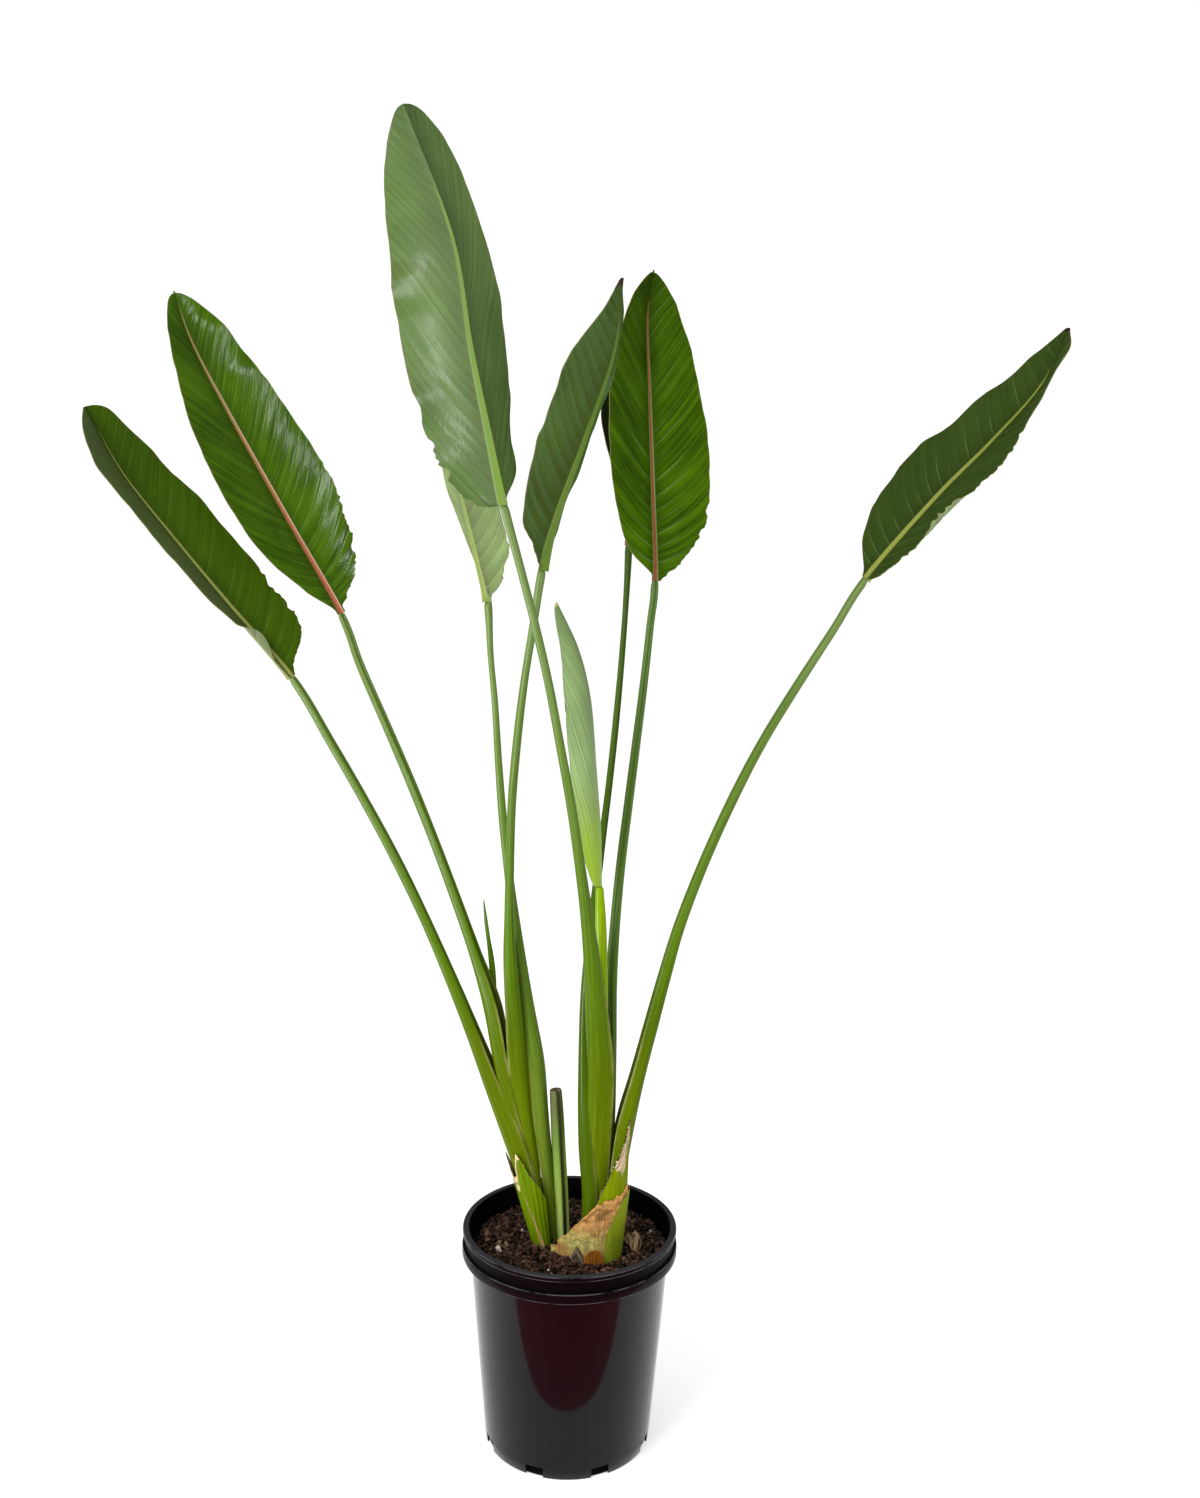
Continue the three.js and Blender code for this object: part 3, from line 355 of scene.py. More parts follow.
def added(primitive, name, **settings):
    """A new primitive, made with nothing else selected."""
    bpy.ops.object.select_all(action="DESELECT")
    primitive(**settings)
    piece = bpy.context.object
    piece.name = piece.data.name = name
    return piece


def joined(pieces):
    """Several pieces made one, which keeps the first one's name."""
    only(pieces[0])
    for piece in pieces[1:]:
        piece.select_set(True)
    bpy.ops.object.join()
    return pieces[0]


def mark(piece, name, values):
    attribute = piece.data.attributes.new(name, "FLOAT", "POINT")
    attribute.data.foreach_set("value", np.asarray(values, np.float32).ravel())


def rolled(name, rings, marks, sharp=50):
    """A closed skin through rings of points: a grid laid along them, rolled up and capped.

    marks are values for each point that the finish reads, and edges past sharp degrees show."""
    rows, around = rings.shape[:2]
    piece = added(
        bpy.ops.mesh.primitive_grid_add, name, x_subdivisions=around, y_subdivisions=rows - 1, size=1)
    closed = np.concatenate([rings, rings[:, :1]], axis=1) * MM
    piece.data.vertices.foreach_set("co", closed.astype(np.float32).ravel())
    for title, values in marks.items():
        values = np.broadcast_to(values, (rows, around))
        mark(piece, title, np.concatenate([values, values[:, :1]], axis=1))
    bpy.ops.object.mode_set(mode="EDIT")
    bpy.ops.mesh.select_all(action="SELECT")
    bpy.ops.mesh.remove_doubles(threshold=1e-6)
    bpy.ops.mesh.select_all(action="DESELECT")
    bpy.ops.mesh.select_non_manifold()
    bpy.ops.mesh.fill_holes(sides=0)
    bpy.ops.mesh.quads_convert_to_tris()
    bpy.ops.mesh.select_all(action="SELECT")
    bpy.ops.mesh.normals_make_consistent(inside=False)
    bpy.ops.object.mode_set(mode="OBJECT")
    bpy.ops.object.shade_smooth_by_angle(angle=math.radians(sharp))
    return piece


def rounded(piece, levels=2):
    """Smooths a piece with a subdivision surface."""
    only(piece)
    modifier = piece.modifiers.new("Subdivision", "SUBSURF")
    modifier.levels = modifier.render_levels = levels
    bpy.ops.object.modifier_apply(modifier=modifier.name)
    return piece


def place(piece, slot, material, *nodes):
    piece.data.materials.clear()
    piece.data.materials.append(material)
    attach(piece, "root")
    if nodes:
        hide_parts(*nodes)
    return piece


# Shader maths

class Tone:
    """A number that varies over a surface, for sums written as Python expressions."""

    def __init__(self, finish, socket):
        self.finish, self.socket = finish, socket

    def sum(self, operation, *terms):
        return self.finish.node("ShaderNodeMath", {"operation": operation}, dict(enumerate(terms)))

    def __add__(self, other):
        return self.sum("ADD", self, other)

    __radd__ = __add__

    def __sub__(self, other):
        return self.sum("SUBTRACT", self, other)

    def __rsub__(self, other):
        return self.sum("SUBTRACT", other, self)

    def __mul__(self, other):
        return self.sum("MULTIPLY", self, other)

    __rmul__ = __mul__

    def __truediv__(self, other):
        return self.sum("DIVIDE", self, other)

    def __pow__(self, other):
        return self.sum("POWER", self, other)

    def sine(self):
        return self.sum("SINE", self)

    def size(self):
        return self.sum("ABSOLUTE", self)

    def fraction(self):
        return self.sum("FRACT", self)

    def within(self, low, high):
        """0 at low and 1 at high, smoothly, and flat beyond both."""
        return self.finish.node("ShaderNodeMapRange", {"interpolation_type": "SMOOTHSTEP"},
                                {0: self, 1: low, 2: high, 3: 0.0, 4: 1.0})


class Finish:
    """A material, built up node by node."""

    def __init__(self, name, **fixed):
        self.material = bpy.data.materials.new(name)
        self.material.use_nodes = True
        self.tree = self.material.node_tree
        self.shader = self.tree.nodes["Principled BSDF"]
        for title, value in fixed.items():
            self.shader.inputs[title.replace("_", " ")].default_value = value

    def node(self, kind, settings, sockets, output=0):
        made = self.tree.nodes.new(kind)
        for title, value in settings.items():
            setattr(made, title, value)
        for key, value in sockets.items():
            if isinstance(value, Tone):
                self.tree.links.new(value.socket, made.inputs[key])
            elif value is not None:
                made.inputs[key].default_value = value
        return Tone(self, made.outputs[output])

    def feed(self, title, tone):
        self.tree.links.new(tone.socket, self.shader.inputs[title])

    def read(self, title):
        return self.node("ShaderNodeAttribute", {"attribute_name": title}, {}, "Fac")

    def where(self):
        return self.node("ShaderNodeTexCoord", {}, {}, "Object")

    def parts(self, vector):
        return [self.node("ShaderNodeSeparateXYZ", {}, {0: vector}, axis) for axis in "XYZ"]

    def join(self, x, y, z=0.0):
        return self.node("ShaderNodeCombineXYZ", {}, {0: x, 1: y, 2: z})

    def noise(self, vector, scale, detail=3.0, roughness=0.55):
        sockets = {"Vector": vector, "Scale": scale, "Detail": detail, "Roughness": roughness}
        return self.node("ShaderNodeTexNoise", {}, sockets)

    def mix(self, share, first, second):
        return self.node("ShaderNodeMix", {"data_type": "RGBA"}, {0: share, 6: first, 7: second}, 2)

    def scaled(self, tone, amount):
        return self.node("ShaderNodeVectorMath", {"operation": "SCALE"}, {0: tone, "Scale": amount})

    def ramp(self, share, stops):
        ramp = self.tree.nodes.new("ShaderNodeValToRGB")
        for _ in stops[2:]:
            ramp.color_ramp.elements.new(0.5)
        for element, (position, colour) in zip(ramp.color_ramp.elements, stops):
            element.position, element.color = position, colour
        self.tree.links.new(share.socket, ramp.inputs[0])
        return Tone(self, ramp.outputs[0])

    def relief(self, height, distance, strength=1.0):
        sockets = {"Height": height, "Distance": distance, "Strength": strength}
        self.feed("Normal", self.node("ShaderNodeBump", {}, sockets))


def paint(red, green, blue):
    """A colour given as it looks on a screen, 0 to 255, as light for the shader."""
    def light(value):
        value /= 255
        return value / 12.92 if value <= 0.04045 else ((value + 0.055) / 1.055) ** 2.4
    return (light(red), light(green), light(blue), 1.0)


# Leaf blades

# Colours as they look on a screen.
# upper, deep, vein: the upper side, its shaded parts and its side veins
# under: the under side; haze: a painted sheen, the upper side's paler half; foot: the under side at its
# base
# rib, rib_base, lip: the midrib, its base and its edges; lip_side: the one side with an edge
# tip_tone: the tip, where it isn't brown
# lateral, thread: how strongly the main side veins and the threads between them show
# fade: painted light and shade along the blade, how light it is painted at its base and at its tip
# rib_width, tip: the midrib's half width at the base and the dry tip's length, in millimetres
# rib_end: the share of the blade at which the midrib fades out
# gloss, rough, relief: how the surface shines, and how deep its veins are
LEAF_LOOKS = {
    "far_left": {
        "upper": (66, 94, 6), "deep": (50, 74, 6), "vein": (92, 118, 56), "under": (124, 138, 98),
        "painted_sheen": (94, 102, 74), "rib": (138, 146, 76), "rib_base": (146, 150, 80), "lip": (140, 146, 78),
        "lateral": 0.5, "thread": 0.2, "rib_width": 2.4, "rib_end": 0.95, "tip": 3, "gloss": 0.1,
        "rough": 0.3},
    "left": {
        "upper": (76, 112, 0), "deep": (38, 66, 0), "vein": (98, 132, 64), "under": (112, 135, 82),
        "rib": (140, 122, 74), "rib_base": (170, 92, 70), "lip": (214, 176, 158), "lateral": 0.6,
        "thread": 0.5, "lip_side": 1, "rib_width": 3, "rib_end": 0.97, "tip": 2, "gloss": 0.4,
        "rough": 0.12, "relief": 0.26},
    "small": {
        "upper": (80, 110, 40), "deep": (60, 84, 30), "vein": (150, 164, 100), "under": (132, 152, 96),
        "rib": (150, 168, 92), "rib_base": (140, 164, 80), "lip": (176, 190, 120), "lateral": 0.5,
        "thread": 0.25, "rib_width": 2.4, "rib_end": 0.96, "tip": 3, "gloss": 0.15, "rough": 0.3},
    "leaning": {
        "upper": (60, 90, 25), "deep": (44, 66, 16), "vein": (80, 104, 50), "under": (62, 90, 26),
        "rib": (80, 110, 36), "rib_base": (94, 122, 44), "lip": (110, 136, 60), "lateral": 0.5,
        "thread": 0.25, "rib_width": 3.6, "rib_end": 0.9, "tip": 12, "gloss": 0.2, "rough": 0.22},
    "tall": {
        "upper": (60, 90, 25), "deep": (44, 66, 16), "vein": (80, 104, 50), "under": (92, 118, 62),
        "rib": (102, 128, 54), "rib_base": (104, 134, 38), "lip": (126, 152, 86), "lateral": 0.9,
        "thread": 0.2, "rib_width": 4.6, "rib_end": 0.9, "tip": 1, "gloss": 0.4, "rough": 0.15,
        "relief": 0.04},
    "upright": {
        "upper": (70, 104, 0), "deep": (32, 58, 0), "vein": (96, 136, 80), "under": (108, 130, 80),
        "rib": (128, 88, 54), "rib_base": (156, 92, 64), "lip": (120, 150, 90), "lateral": 0.7,
        "thread": 0.6, "painted_light_fade": (1.4, 0.65), "rib_width": 2.8, "rib_end": 0.86, "tip": 2, "gloss": 0.14,
        "rough": 0.2},
    "back": {
        "upper": (34, 50, 4), "deep": (24, 38, 2), "vein": (44, 60, 14), "under": (108, 130, 80),
        "rib": (120, 100, 60), "rib_base": (130, 90, 60), "lip": (170, 140, 90), "lateral": 0.3,
        "thread": 0.3, "rib_width": 2.6, "rib_end": 0.9, "tip": 4, "gloss": 0.15, "rough": 0.25},
    "far_right": {
        "upper": (58, 78, 26), "deep": (46, 64, 20), "vein": (92, 112, 64), "under": (126, 144, 100),
        "rib": (128, 136, 56), "rib_base": (146, 154, 72), "lip": (150, 156, 84), "lateral": 0.9,
        "thread": 0.2, "rib_width": 3.4, "rib_end": 0.85, "tip": 8, "gloss": 0.08, "rough": 0.3},
    "young": {
        "upper": (92, 128, 40), "deep": (70, 104, 24), "vein": (120, 150, 90), "under": (138, 166, 106),
        "foot": (140, 172, 48), "rib": (150, 178, 112), "rib_base": (150, 176, 84),
        "lip": (160, 186, 120), "tip_tone": (206, 196, 104), "lateral": 0.1, "thread": 1.0,
        "rib_width": 2, "rib_end": 0.9, "tip": 6, "gloss": 0.25, "rough": 0.25},
}


def shaded(colour, share):
    return paint(*[min(255, value * share) for value in colour])


def leaf_finish(name, look):
    """A veined leaf: dark and glossy on its upper side, paler and duller beneath."""
    f = Finish("leaf_" + name, Specular_IOR_Level=look["gloss"])
    across, vein, upper, edge, to_tip, share = (f.read(title) for title in (
        "across", "vein", "upper", "edge", "to_tip", "share"))
    where = f.where()
    far = across.size()
    patch = f.noise(where, 17.0, 3.0)
    grain = f.noise(where, 620.0, 2.0)
    threads = f.noise(f.join(vein * 430.0, across * 9.0), 1.0, 2.0, 0.6)
    bands = f.noise(f.join(vein * 130.0, across * 12.0), 1.0, 3.0)
    rung = (vein * (math.pi / (VEIN_SPACING * MM))).sine().size()
    lateral = rung.within(0.2, 0.03) * bands.within(0.34, 0.6) * look["lateral"]
    # painted shade: between each two side veins the tone steps from darker to lighter, shading painted on
    # the pleats' facets
    painted_facet_shade = (vein / (VEIN_SPACING * MM)).fraction()
    lift = 0.3 - look["thread"] / 2
    shade = (bands * 0.3 + patch * 0.35 + threads * look["thread"] + lift).within(0.42, 0.82)
    face = f.mix(shade, paint(*look["deep"]), paint(*look["upper"]))
    face = f.mix(lateral * far.within(0.05, 0.012), face, paint(*look["vein"]))
    face = f.mix(far.within(0.016, 0.003) * 0.4, face, shaded(look["deep"], 0.86))
    # painted sheen: the upper side's left half is painted paler and greyer
    if "painted_sheen" in look:
        face = f.mix(across.within(0.0, -0.012) * 0.45, face, paint(*look["painted_sheen"]))
    back = f.mix(shade, shaded(look["under"], 0.84), shaded(look["under"], 1.12))
    back = f.mix(lateral, back, shaded(look["under"], 0.66))
    back = f.mix(far.within(0.026, 0.004) * 0.5, back, shaded(look["under"], 0.74))
    if "foot" in look:
        foot = f.mix(threads, shaded(look["foot"], 0.8), shaded(look["foot"], 1.2))
        back = f.mix(share.within(0.42, 0.08), back, foot)
    # painted light and shade: where a look gives it, the blade is painted lighter at its base and darker at
    # its tip
    at_base, at_tip = look.get("painted_light_fade", (1.0, 1.0))
    light = (0.93 + painted_facet_shade * 0.14) * (at_base + share * (at_tip - at_base))
    blade = f.scaled(f.mix(upper, back, face), light)
    wide = ((1.0 - share) ** 0.75) * (look["rib_width"] * MM) + 0.0003
    shown = share.within(look["rib_end"], look["rib_end"] - 0.12)
    rib = (far - wide).within(0.0003, -0.0003) * shown
    lip = (far - wide).size().within(0.0008, 0.0002) * shown
    rib_tone = f.mix(share.within(0.05, 0.7), paint(*look["rib_base"]), paint(*look["rib"]))
    rib_tone = f.mix(grain * 0.25, rib_tone, shaded(look["rib"], 1.2))
    blade = f.mix(rib, blade, rib_tone)
    if "lip_side" in look:
        lip = lip * (across * look["lip_side"]).within(-0.001, 0.001)
    blade = f.mix(lip * share.within(0.8, 0.3) * 0.8, blade, paint(*look["lip"]))
    margin = (edge + grain * 0.0005).within(0.0012, 0.0005)
    blade = f.mix(margin * 0.5, blade, paint(140, 134, 84))
    dry = (to_tip + grain * 0.004).within(look["tip"] * MM, look["tip"] * MM / 2)
    blade = f.mix(dry, blade, paint(*look.get("tip_tone", (46, 30, 20))))
    f.feed("Base Color", blade)
    f.feed("Roughness", look["rough"] + bands * 0.1)
    f.relief(rung.within(0.0, 0.4) * 0.5 + bands * 0.8 + threads * 0.4, 0.0006, look.get("relief", 0.6))
    return f.material


def half_width(leaf, title, sign, seed, t, run):
    """How wide one half of a blade is along it: as drawn, and with its wavy or torn margin."""
    least = lerp(BLADE_BASE_HALF_WIDTH, BLADE_TIP_HALF_WIDTH, np.minimum(1, 3 * t))
    station = 10 * np.arccos(1 - 2 * np.minimum(1, t / (1 - leaf.get("point", 0)))) / np.pi
    drawn = smooth([BLADE_BASE_HALF_WIDTH, *leaf[title], BLADE_TIP_HALF_WIDTH], station)
    drawn = np.maximum(drawn, least)
    width = drawn + 0.5 * wander(run, 11, seed + sign) * np.minimum(1, drawn / 20)
    ragged_side, ragged_end, depth = leaf.get("ragged", ("", 0, 0))
    if ragged_side == title:
        torn = np.clip((ragged_end - t) / 0.05, 0, 1) * np.clip(t / 0.02, 0, 1)
        teeth = np.abs(wander(run, 3.2, seed + 5)) * 0.6 + np.abs(wander(run, 8, seed + 6))
        width -= torn * depth * (teeth - 0.5)
    for middle, reach, depth in leaf.get("tears_" + title, ()):
        width -= depth * np.clip(1 - np.abs(run - middle) / reach, 0, 1) ** 0.8
    return drawn, np.maximum(width, least)


def half_angle(leaf, title, t, share):
    """How steeply one half of a blade rises at each of its points, with its rolled margin."""
    fold, turn = math.radians(leaf["fold"]), math.radians(leaf.get("curl", USUAL_CURL))
    angle = fold + turn * share
    rolled_side, middle, reach, start, degrees = leaf.get("roll", ("", 0, 1, 0, 0))
    if rolled_side == title:
        near = np.clip(1 - np.abs(t - middle) / reach, 0, 1)
        curled = math.radians(degrees) * (near * near * (3 - 2 * near))[:, None]
        angle = angle + curled * np.clip((share - start) / (1 - start), 0, 1)
    return angle, (angle + np.column_stack([np.full(len(t), fold), angle[:, :-1]])) / 2


def half_blade(leaf, title, sign, seed, t, run):
    """One half of a blade: where its points lie across it, and what the finish reads there."""
    drawn, width = half_width(leaf, title, sign, seed, t, run)
    rib = np.minimum(RIB_HALF_WIDTH * lerp(1, 0.25, t ** 0.8), 0.45 * width)
    beyond = np.linspace(0, 1, HALF_STEPS)[1:] ** 0.9
    beyond = rib[:, None] + (width - rib)[:, None] * beyond[None, :]
    distance = np.column_stack([0.55 * rib, rib, beyond])
    share = distance / drawn[:, None]
    angle, halfway = half_angle(leaf, title, t, share)
    steps = np.diff(distance, axis=1, prepend=0)
    out = np.cumsum(steps * np.cos(halfway), axis=1)
    rise = np.cumsum(steps * np.sin(halfway), axis=1)
    wave = leaf["ripple"] * np.sin(26 * t + seed + sign) + 0.8 * wander(run, 17, seed + 2 * sign)
    rise += (wave * np.minimum(1, width / 30))[:, None] * share ** 2
    lean, more = leaf["sweep"]
    vein = (run[:, None] - lean * distance - 0.007 * distance ** 2) / (1 + more * distance / run[-1])
    vein += 4.5 * wander(vein, 26, seed + 9)
    pleat = np.cos(2 * np.pi * vein / VEIN_SPACING)
    pleat = pleat * (0.35 + 0.65 * np.abs(wander(vein + 0.2 * distance, 26, seed + 7)))
    body = np.clip((distance - rib[:, None]) / 6, 0, 1) * np.clip((1 - share) * 8, 0, 1)
    rise += leaf["pleat"] * pleat * body
    return {"out": sign * out, "rise": rise, "lean": sign * angle, "distance": sign * distance,
            "edge": width[:, None] - distance, "rib": rib, "vein": vein}


def blade_rings(leaf, seed):
    """A blade's rings of points, with what the finish reads at each."""
    points, feet = spine(leaf)
    even = np.linspace(0, 1, BLADE_ROWS)
    t = lerp(even, (1 - np.cos(np.pi * even)) / 2, 0.6)
    places = feet + t * (len(points) - 1 - feet)
    faces = np.array(leaf["face"], float)
    centre, up, side = axes_at(points, places, lerp(faces[0], faces[1], t[:, None]))
    run = run_along(centre)
    left = half_blade(leaf, "left", -1, seed, t, run)
    right = half_blade(leaf, "right", 1, seed, t, run)
    zero = np.zeros((BLADE_ROWS, 1))

    def row(key, at_midrib=zero):
        return np.concatenate([left[key][:, ::-1], at_midrib, right[key]], axis=1)

    out, rise, lean, distance = row("out"), row("rise"), row("lean"), row("distance")
    rib_half = np.where(distance < 0, left["rib"][:, None], right["rib"][:, None])
    on_rib = np.clip(1.35 - np.abs(distance) / rib_half, 0, 1)
    groove = 0.5 * on_rib * lerp(1, 0.3, t)[:, None]
    depth = leaf.get("rib_scale", 1) * lerp(RIB_DEPTH, RIB_DEPTH_AT_TIP, t ** 0.7)[:, None]
    round_back = np.sqrt(np.clip(1 - (distance / (1.15 * rib_half)) ** 2, 0, 1))
    keel = round_back * (depth - BLADE_HALF_THICKNESS)
    across, square = np.sin(lean) * BLADE_HALF_THICKNESS, np.cos(lean) * BLADE_HALF_THICKNESS
    x = np.concatenate([out - across, (out + across)[:, ::-1]], axis=1)[..., None]
    y = np.concatenate([rise + square - groove, (rise - square - keel)[:, ::-1]], axis=1)[..., None]
    marks = {
        "across": there_and_back(distance) * MM,
        "vein": there_and_back(row("vein", run[:, None])) * MM,
        "edge": there_and_back(row("edge", zero + 50)) * MM,
        "share": t[:, None],
        "to_tip": (run[-1] - run)[:, None] * MM,
        "upper": np.concatenate([np.ones(distance.shape), np.zeros(distance.shape)], axis=1),
    }
    return centre[:, None] + side[:, None] * x + up[:, None] * y, marks


# Stalks

def stalk_section(wide, deep, open_share):
    """A stalk's outline: round at the back, with a channel in front between two margins."""
    back, half = wide / 2, deep / 2
    angles = np.pi * (np.arange(9) / 8 - 0.5)
    outline = [(half * math.sin(a), -back * math.cos(a)) for a in angles]
    margin = lerp(0.62, 0.92, open_share) * half
    crest = lerp(0.9, 1, open_share) * back
    lip = lerp(0.2 * deep, SHEATH_LIP, open_share)
    bed = lerp(0.4 * wide - 0.6, -wide / 2 + max(3, 0.28 * wide), open_share)
    inner = max(margin - lip, 0.4)
    shoulder = lerp(bed, crest, 0.25)
    outline += [(margin, crest), (inner, crest - 0.2), (0.7 * inner, shoulder), (0, bed),
                (-0.7 * inner, shoulder), (-inner, crest - 0.2), (-margin, crest)]
    return outline


# The points of a section that lie on its two margins, and in its channel
MARGIN_POINTS = [9, 10, 14, 15]
CHANNEL_POINTS = [11, 12, 13]


def stalk_rings(leaf):
    """A stalk's rings of points, with what the finish reads at each."""
    points, feet = spine(leaf)
    share = np.linspace(0, 1, STALK_ROWS)
    facing = lerp(np.array(leaf["open"], float), np.array(leaf["face"][0], float), share[:, None] ** 1.5)
    centre, up, side = axes_at(points, share * feet, facing)
    rows = [row[3:] for row in leaf["stalk"]] + [leaf.get("top", USUAL_STALK_TOP)]
    sizes = smooth(rows, share * feet)
    outlines = np.array([stalk_section(w, d, min(1, max(0, o))) for w, d, o in sizes])
    rings = centre[:, None] + side[:, None] * outlines[..., :1] + up[:, None] * outlines[..., 1:]
    around = outlines.shape[1]
    margin, inside = np.zeros((2, STALK_ROWS, around))
    margin[:, MARGIN_POINTS] = np.clip(sizes[:, 2:] * 1.5, 0, 1)
    inside[:, CHANNEL_POINTS] = 1
    marks = {"around": np.arange(around)[None, :] * 0.5, "run": run_along(centre)[:, None] * MM,
             "margin": margin, "inside": inside}
    return rings, marks


# The stalks that differ from the rest, and how strongly; the back stalk's dark tint is painted shade
STALK_TINTS_AND_SHADE = {
    "young": ((148, 180, 0), 0.85),
    # painted shade: the back stalk is tinted dark for the shade it stands in
    "back": ((56, 86, 4), 0.6),
    "upright": ((84, 120, 62), 0.4),
    "small": ((112, 142, 62), 0.3),
}


def stalk_finish(name, upper):
    """Waxy green above, yellower towards the foot, with fine lines along it."""
    f = Finish("stalk_" + name, Specular_IOR_Level=0.04)
    where = f.where()
    height = f.parts(where)[2]
    lines = f.noise(f.join(f.read("around") * 2.6, f.read("run") * 9.0), 1.0, 4.0, 0.6)
    blotch = f.noise(where, 26.0, 4.0)
    rise = height + (blotch - 0.5) * 0.1
    tone = f.ramp(rise, [
        (0.2, paint(114, 130, 0)), (0.28, paint(98, 118, 0)), (0.4, paint(90, 112, 0)),
        (0.52, paint(88, 120, 16)), (0.72, paint(98, 126, 50)), (0.92, paint(*upper))])
    # a tint from the table; the back stalk's is painted shade
    if name in STALK_TINTS_AND_SHADE:
        tint, amount = STALK_TINTS_AND_SHADE[name]
        tone = f.mix(amount, tone, paint(*tint))
    tone = f.scaled(tone, 0.62 + lines.within(0.2, 0.85) * 0.44)
    # painted shade: the channel between the margins is painted darker green
    tone = f.mix(f.read("inside") * 0.4, tone, paint(56, 78, 6))
    margin = f.read("margin").within(0.62, 1.0) * blotch.within(0.3, 0.62)
    tone = f.mix(margin * 0.42, tone, paint(160, 150, 88))
    f.feed("Base Color", tone)
    f.feed("Roughness", 0.2 + lines * 0.14)
    f.relief(lines + blotch * 0.5, 0.0003, 0.6)
    return f.material


# Old sheaths

def wrap_rings(wrap, seed):
    """A thin curved wall round a fan, from its bottom edge to its frayed top."""
    angles = np.linspace(wrap["top"][0][0], wrap["top"][-1][0], WRAP_COLUMNS)[:, None]
    turn = np.radians(angles)
    arc = angles * wrap["across"] * math.pi / 180
    foot = along(wrap["bottom"], angles) + 0.6 if "bottom" in wrap else np.full(angles.shape, WRAP_FOOT)
    frays = np.abs(wander(arc, 1.6, seed)) * 0.6 + np.abs(wander(arc, 4.5, seed + 1))
    high = along(wrap["top"], angles) - wrap["frays"] * frays + 0.3
    share = np.linspace(0, 1, WRAP_ROWS)
    z = foot + (high - foot) * share
    rise = z - SOIL_TOP
    ridge = 0.22 * np.sin(arc * 1.9) + 0.5 * wander(arc, 5, seed + 2) * share
    tail_start, tail_length, tail_reach = wrap.get("tail", (0, 1, 0))
    tail = tail_reach * np.clip((tail_start - angles) / tail_length, 0, 1) ** 1.6
    tuck = wrap.get("waist", 0) * np.clip(1 - rise / WAIST_HEIGHT, 0, 1.1) * np.clip(np.cos(turn), 0, 1)
    across = wrap["across"] + wrap.get("flare", 0) * rise + ridge + tail - tuck

    def wall(inset):
        return np.stack([
            wrap["centre"][0] + wrap.get("lean", 0) * rise + (across - inset) * np.cos(turn),
            wrap["centre"][1] + (wrap["deep"] - inset + ridge) * np.sin(turn),
            z,
        ], axis=-1)

    inset = WRAP_THICKNESS * lerp(1, 0.45, share ** 2)
    rings = np.concatenate([wall(0), wall(inset)[:, ::-1]], axis=1)
    dry = np.maximum(along(wrap["dry"], angles) * (1 + 0.5 * wander(arc, 3, seed + 3)), 0.1)
    seam = np.zeros(z.shape)
    if wrap.get("seam"):
        level, middle, half = np.array(wrap["seam"]).T
        off = np.abs(angles - np.interp(z, level, middle))
        seam = np.clip(1.4 - off / np.interp(z, level, half), 0, 1)
    marks = {"around": arc * MM, "seam": seam, "from_top": (high - z) * MM, "from_foot": (z - foot) * MM,
             "turn": angles, "dry": dry * MM}
    return rings, {title: there_and_back(np.broadcast_to(values, z.shape))
                   for title, values in marks.items()}


# Colours as they look on a screen, and depths in millimetres.
# green, husk: the flesh, and what it dries to
# crown, crown_top: the pale crown at the front, and how far up from its foot it reaches
# aside: the small scale to the left
# edge, brink: how far down the top edge is tinted, and how light that tint is
# stain: how strongly dark stains show on the dry part
SHEATH_LOOKS = {
    "cut_sheath_left": {
        "slot": "green_sheath", "green": (112, 142, 0), "husk": (214, 188, 142),
        "edge": 1.8, "brink": 0.38, "stain": 0.15},
    "old_sheath_right": {
        "slot": "old_sheath", "green": (132, 152, 0), "husk": (216, 190, 150),
        "edge": 4.5, "brink": 0.26, "stain": 0.15},
    "outer_base": {
        "slot": "old_sheath", "green": (150, 168, 34), "husk": (176, 150, 84),
        "crown": (176, 166, 96), "crown_top": 200, "edge": 1, "brink": 0.9, "stain": 0.5},
    "brown_band": {
        "slot": "brown_sheath", "green": (184, 138, 84), "husk": (192, 142, 82),
        "crown": (180, 162, 92), "crown_top": 13, "edge": 1.8, "brink": 1.1, "stain": 0.75},
    "dry_scale": {
        "slot": "dry_scale", "green": (150, 92, 26), "husk": (168, 104, 44),
        "aside": (120, 104, 84), "edge": 1, "brink": 0.6, "stain": 0.5},
}


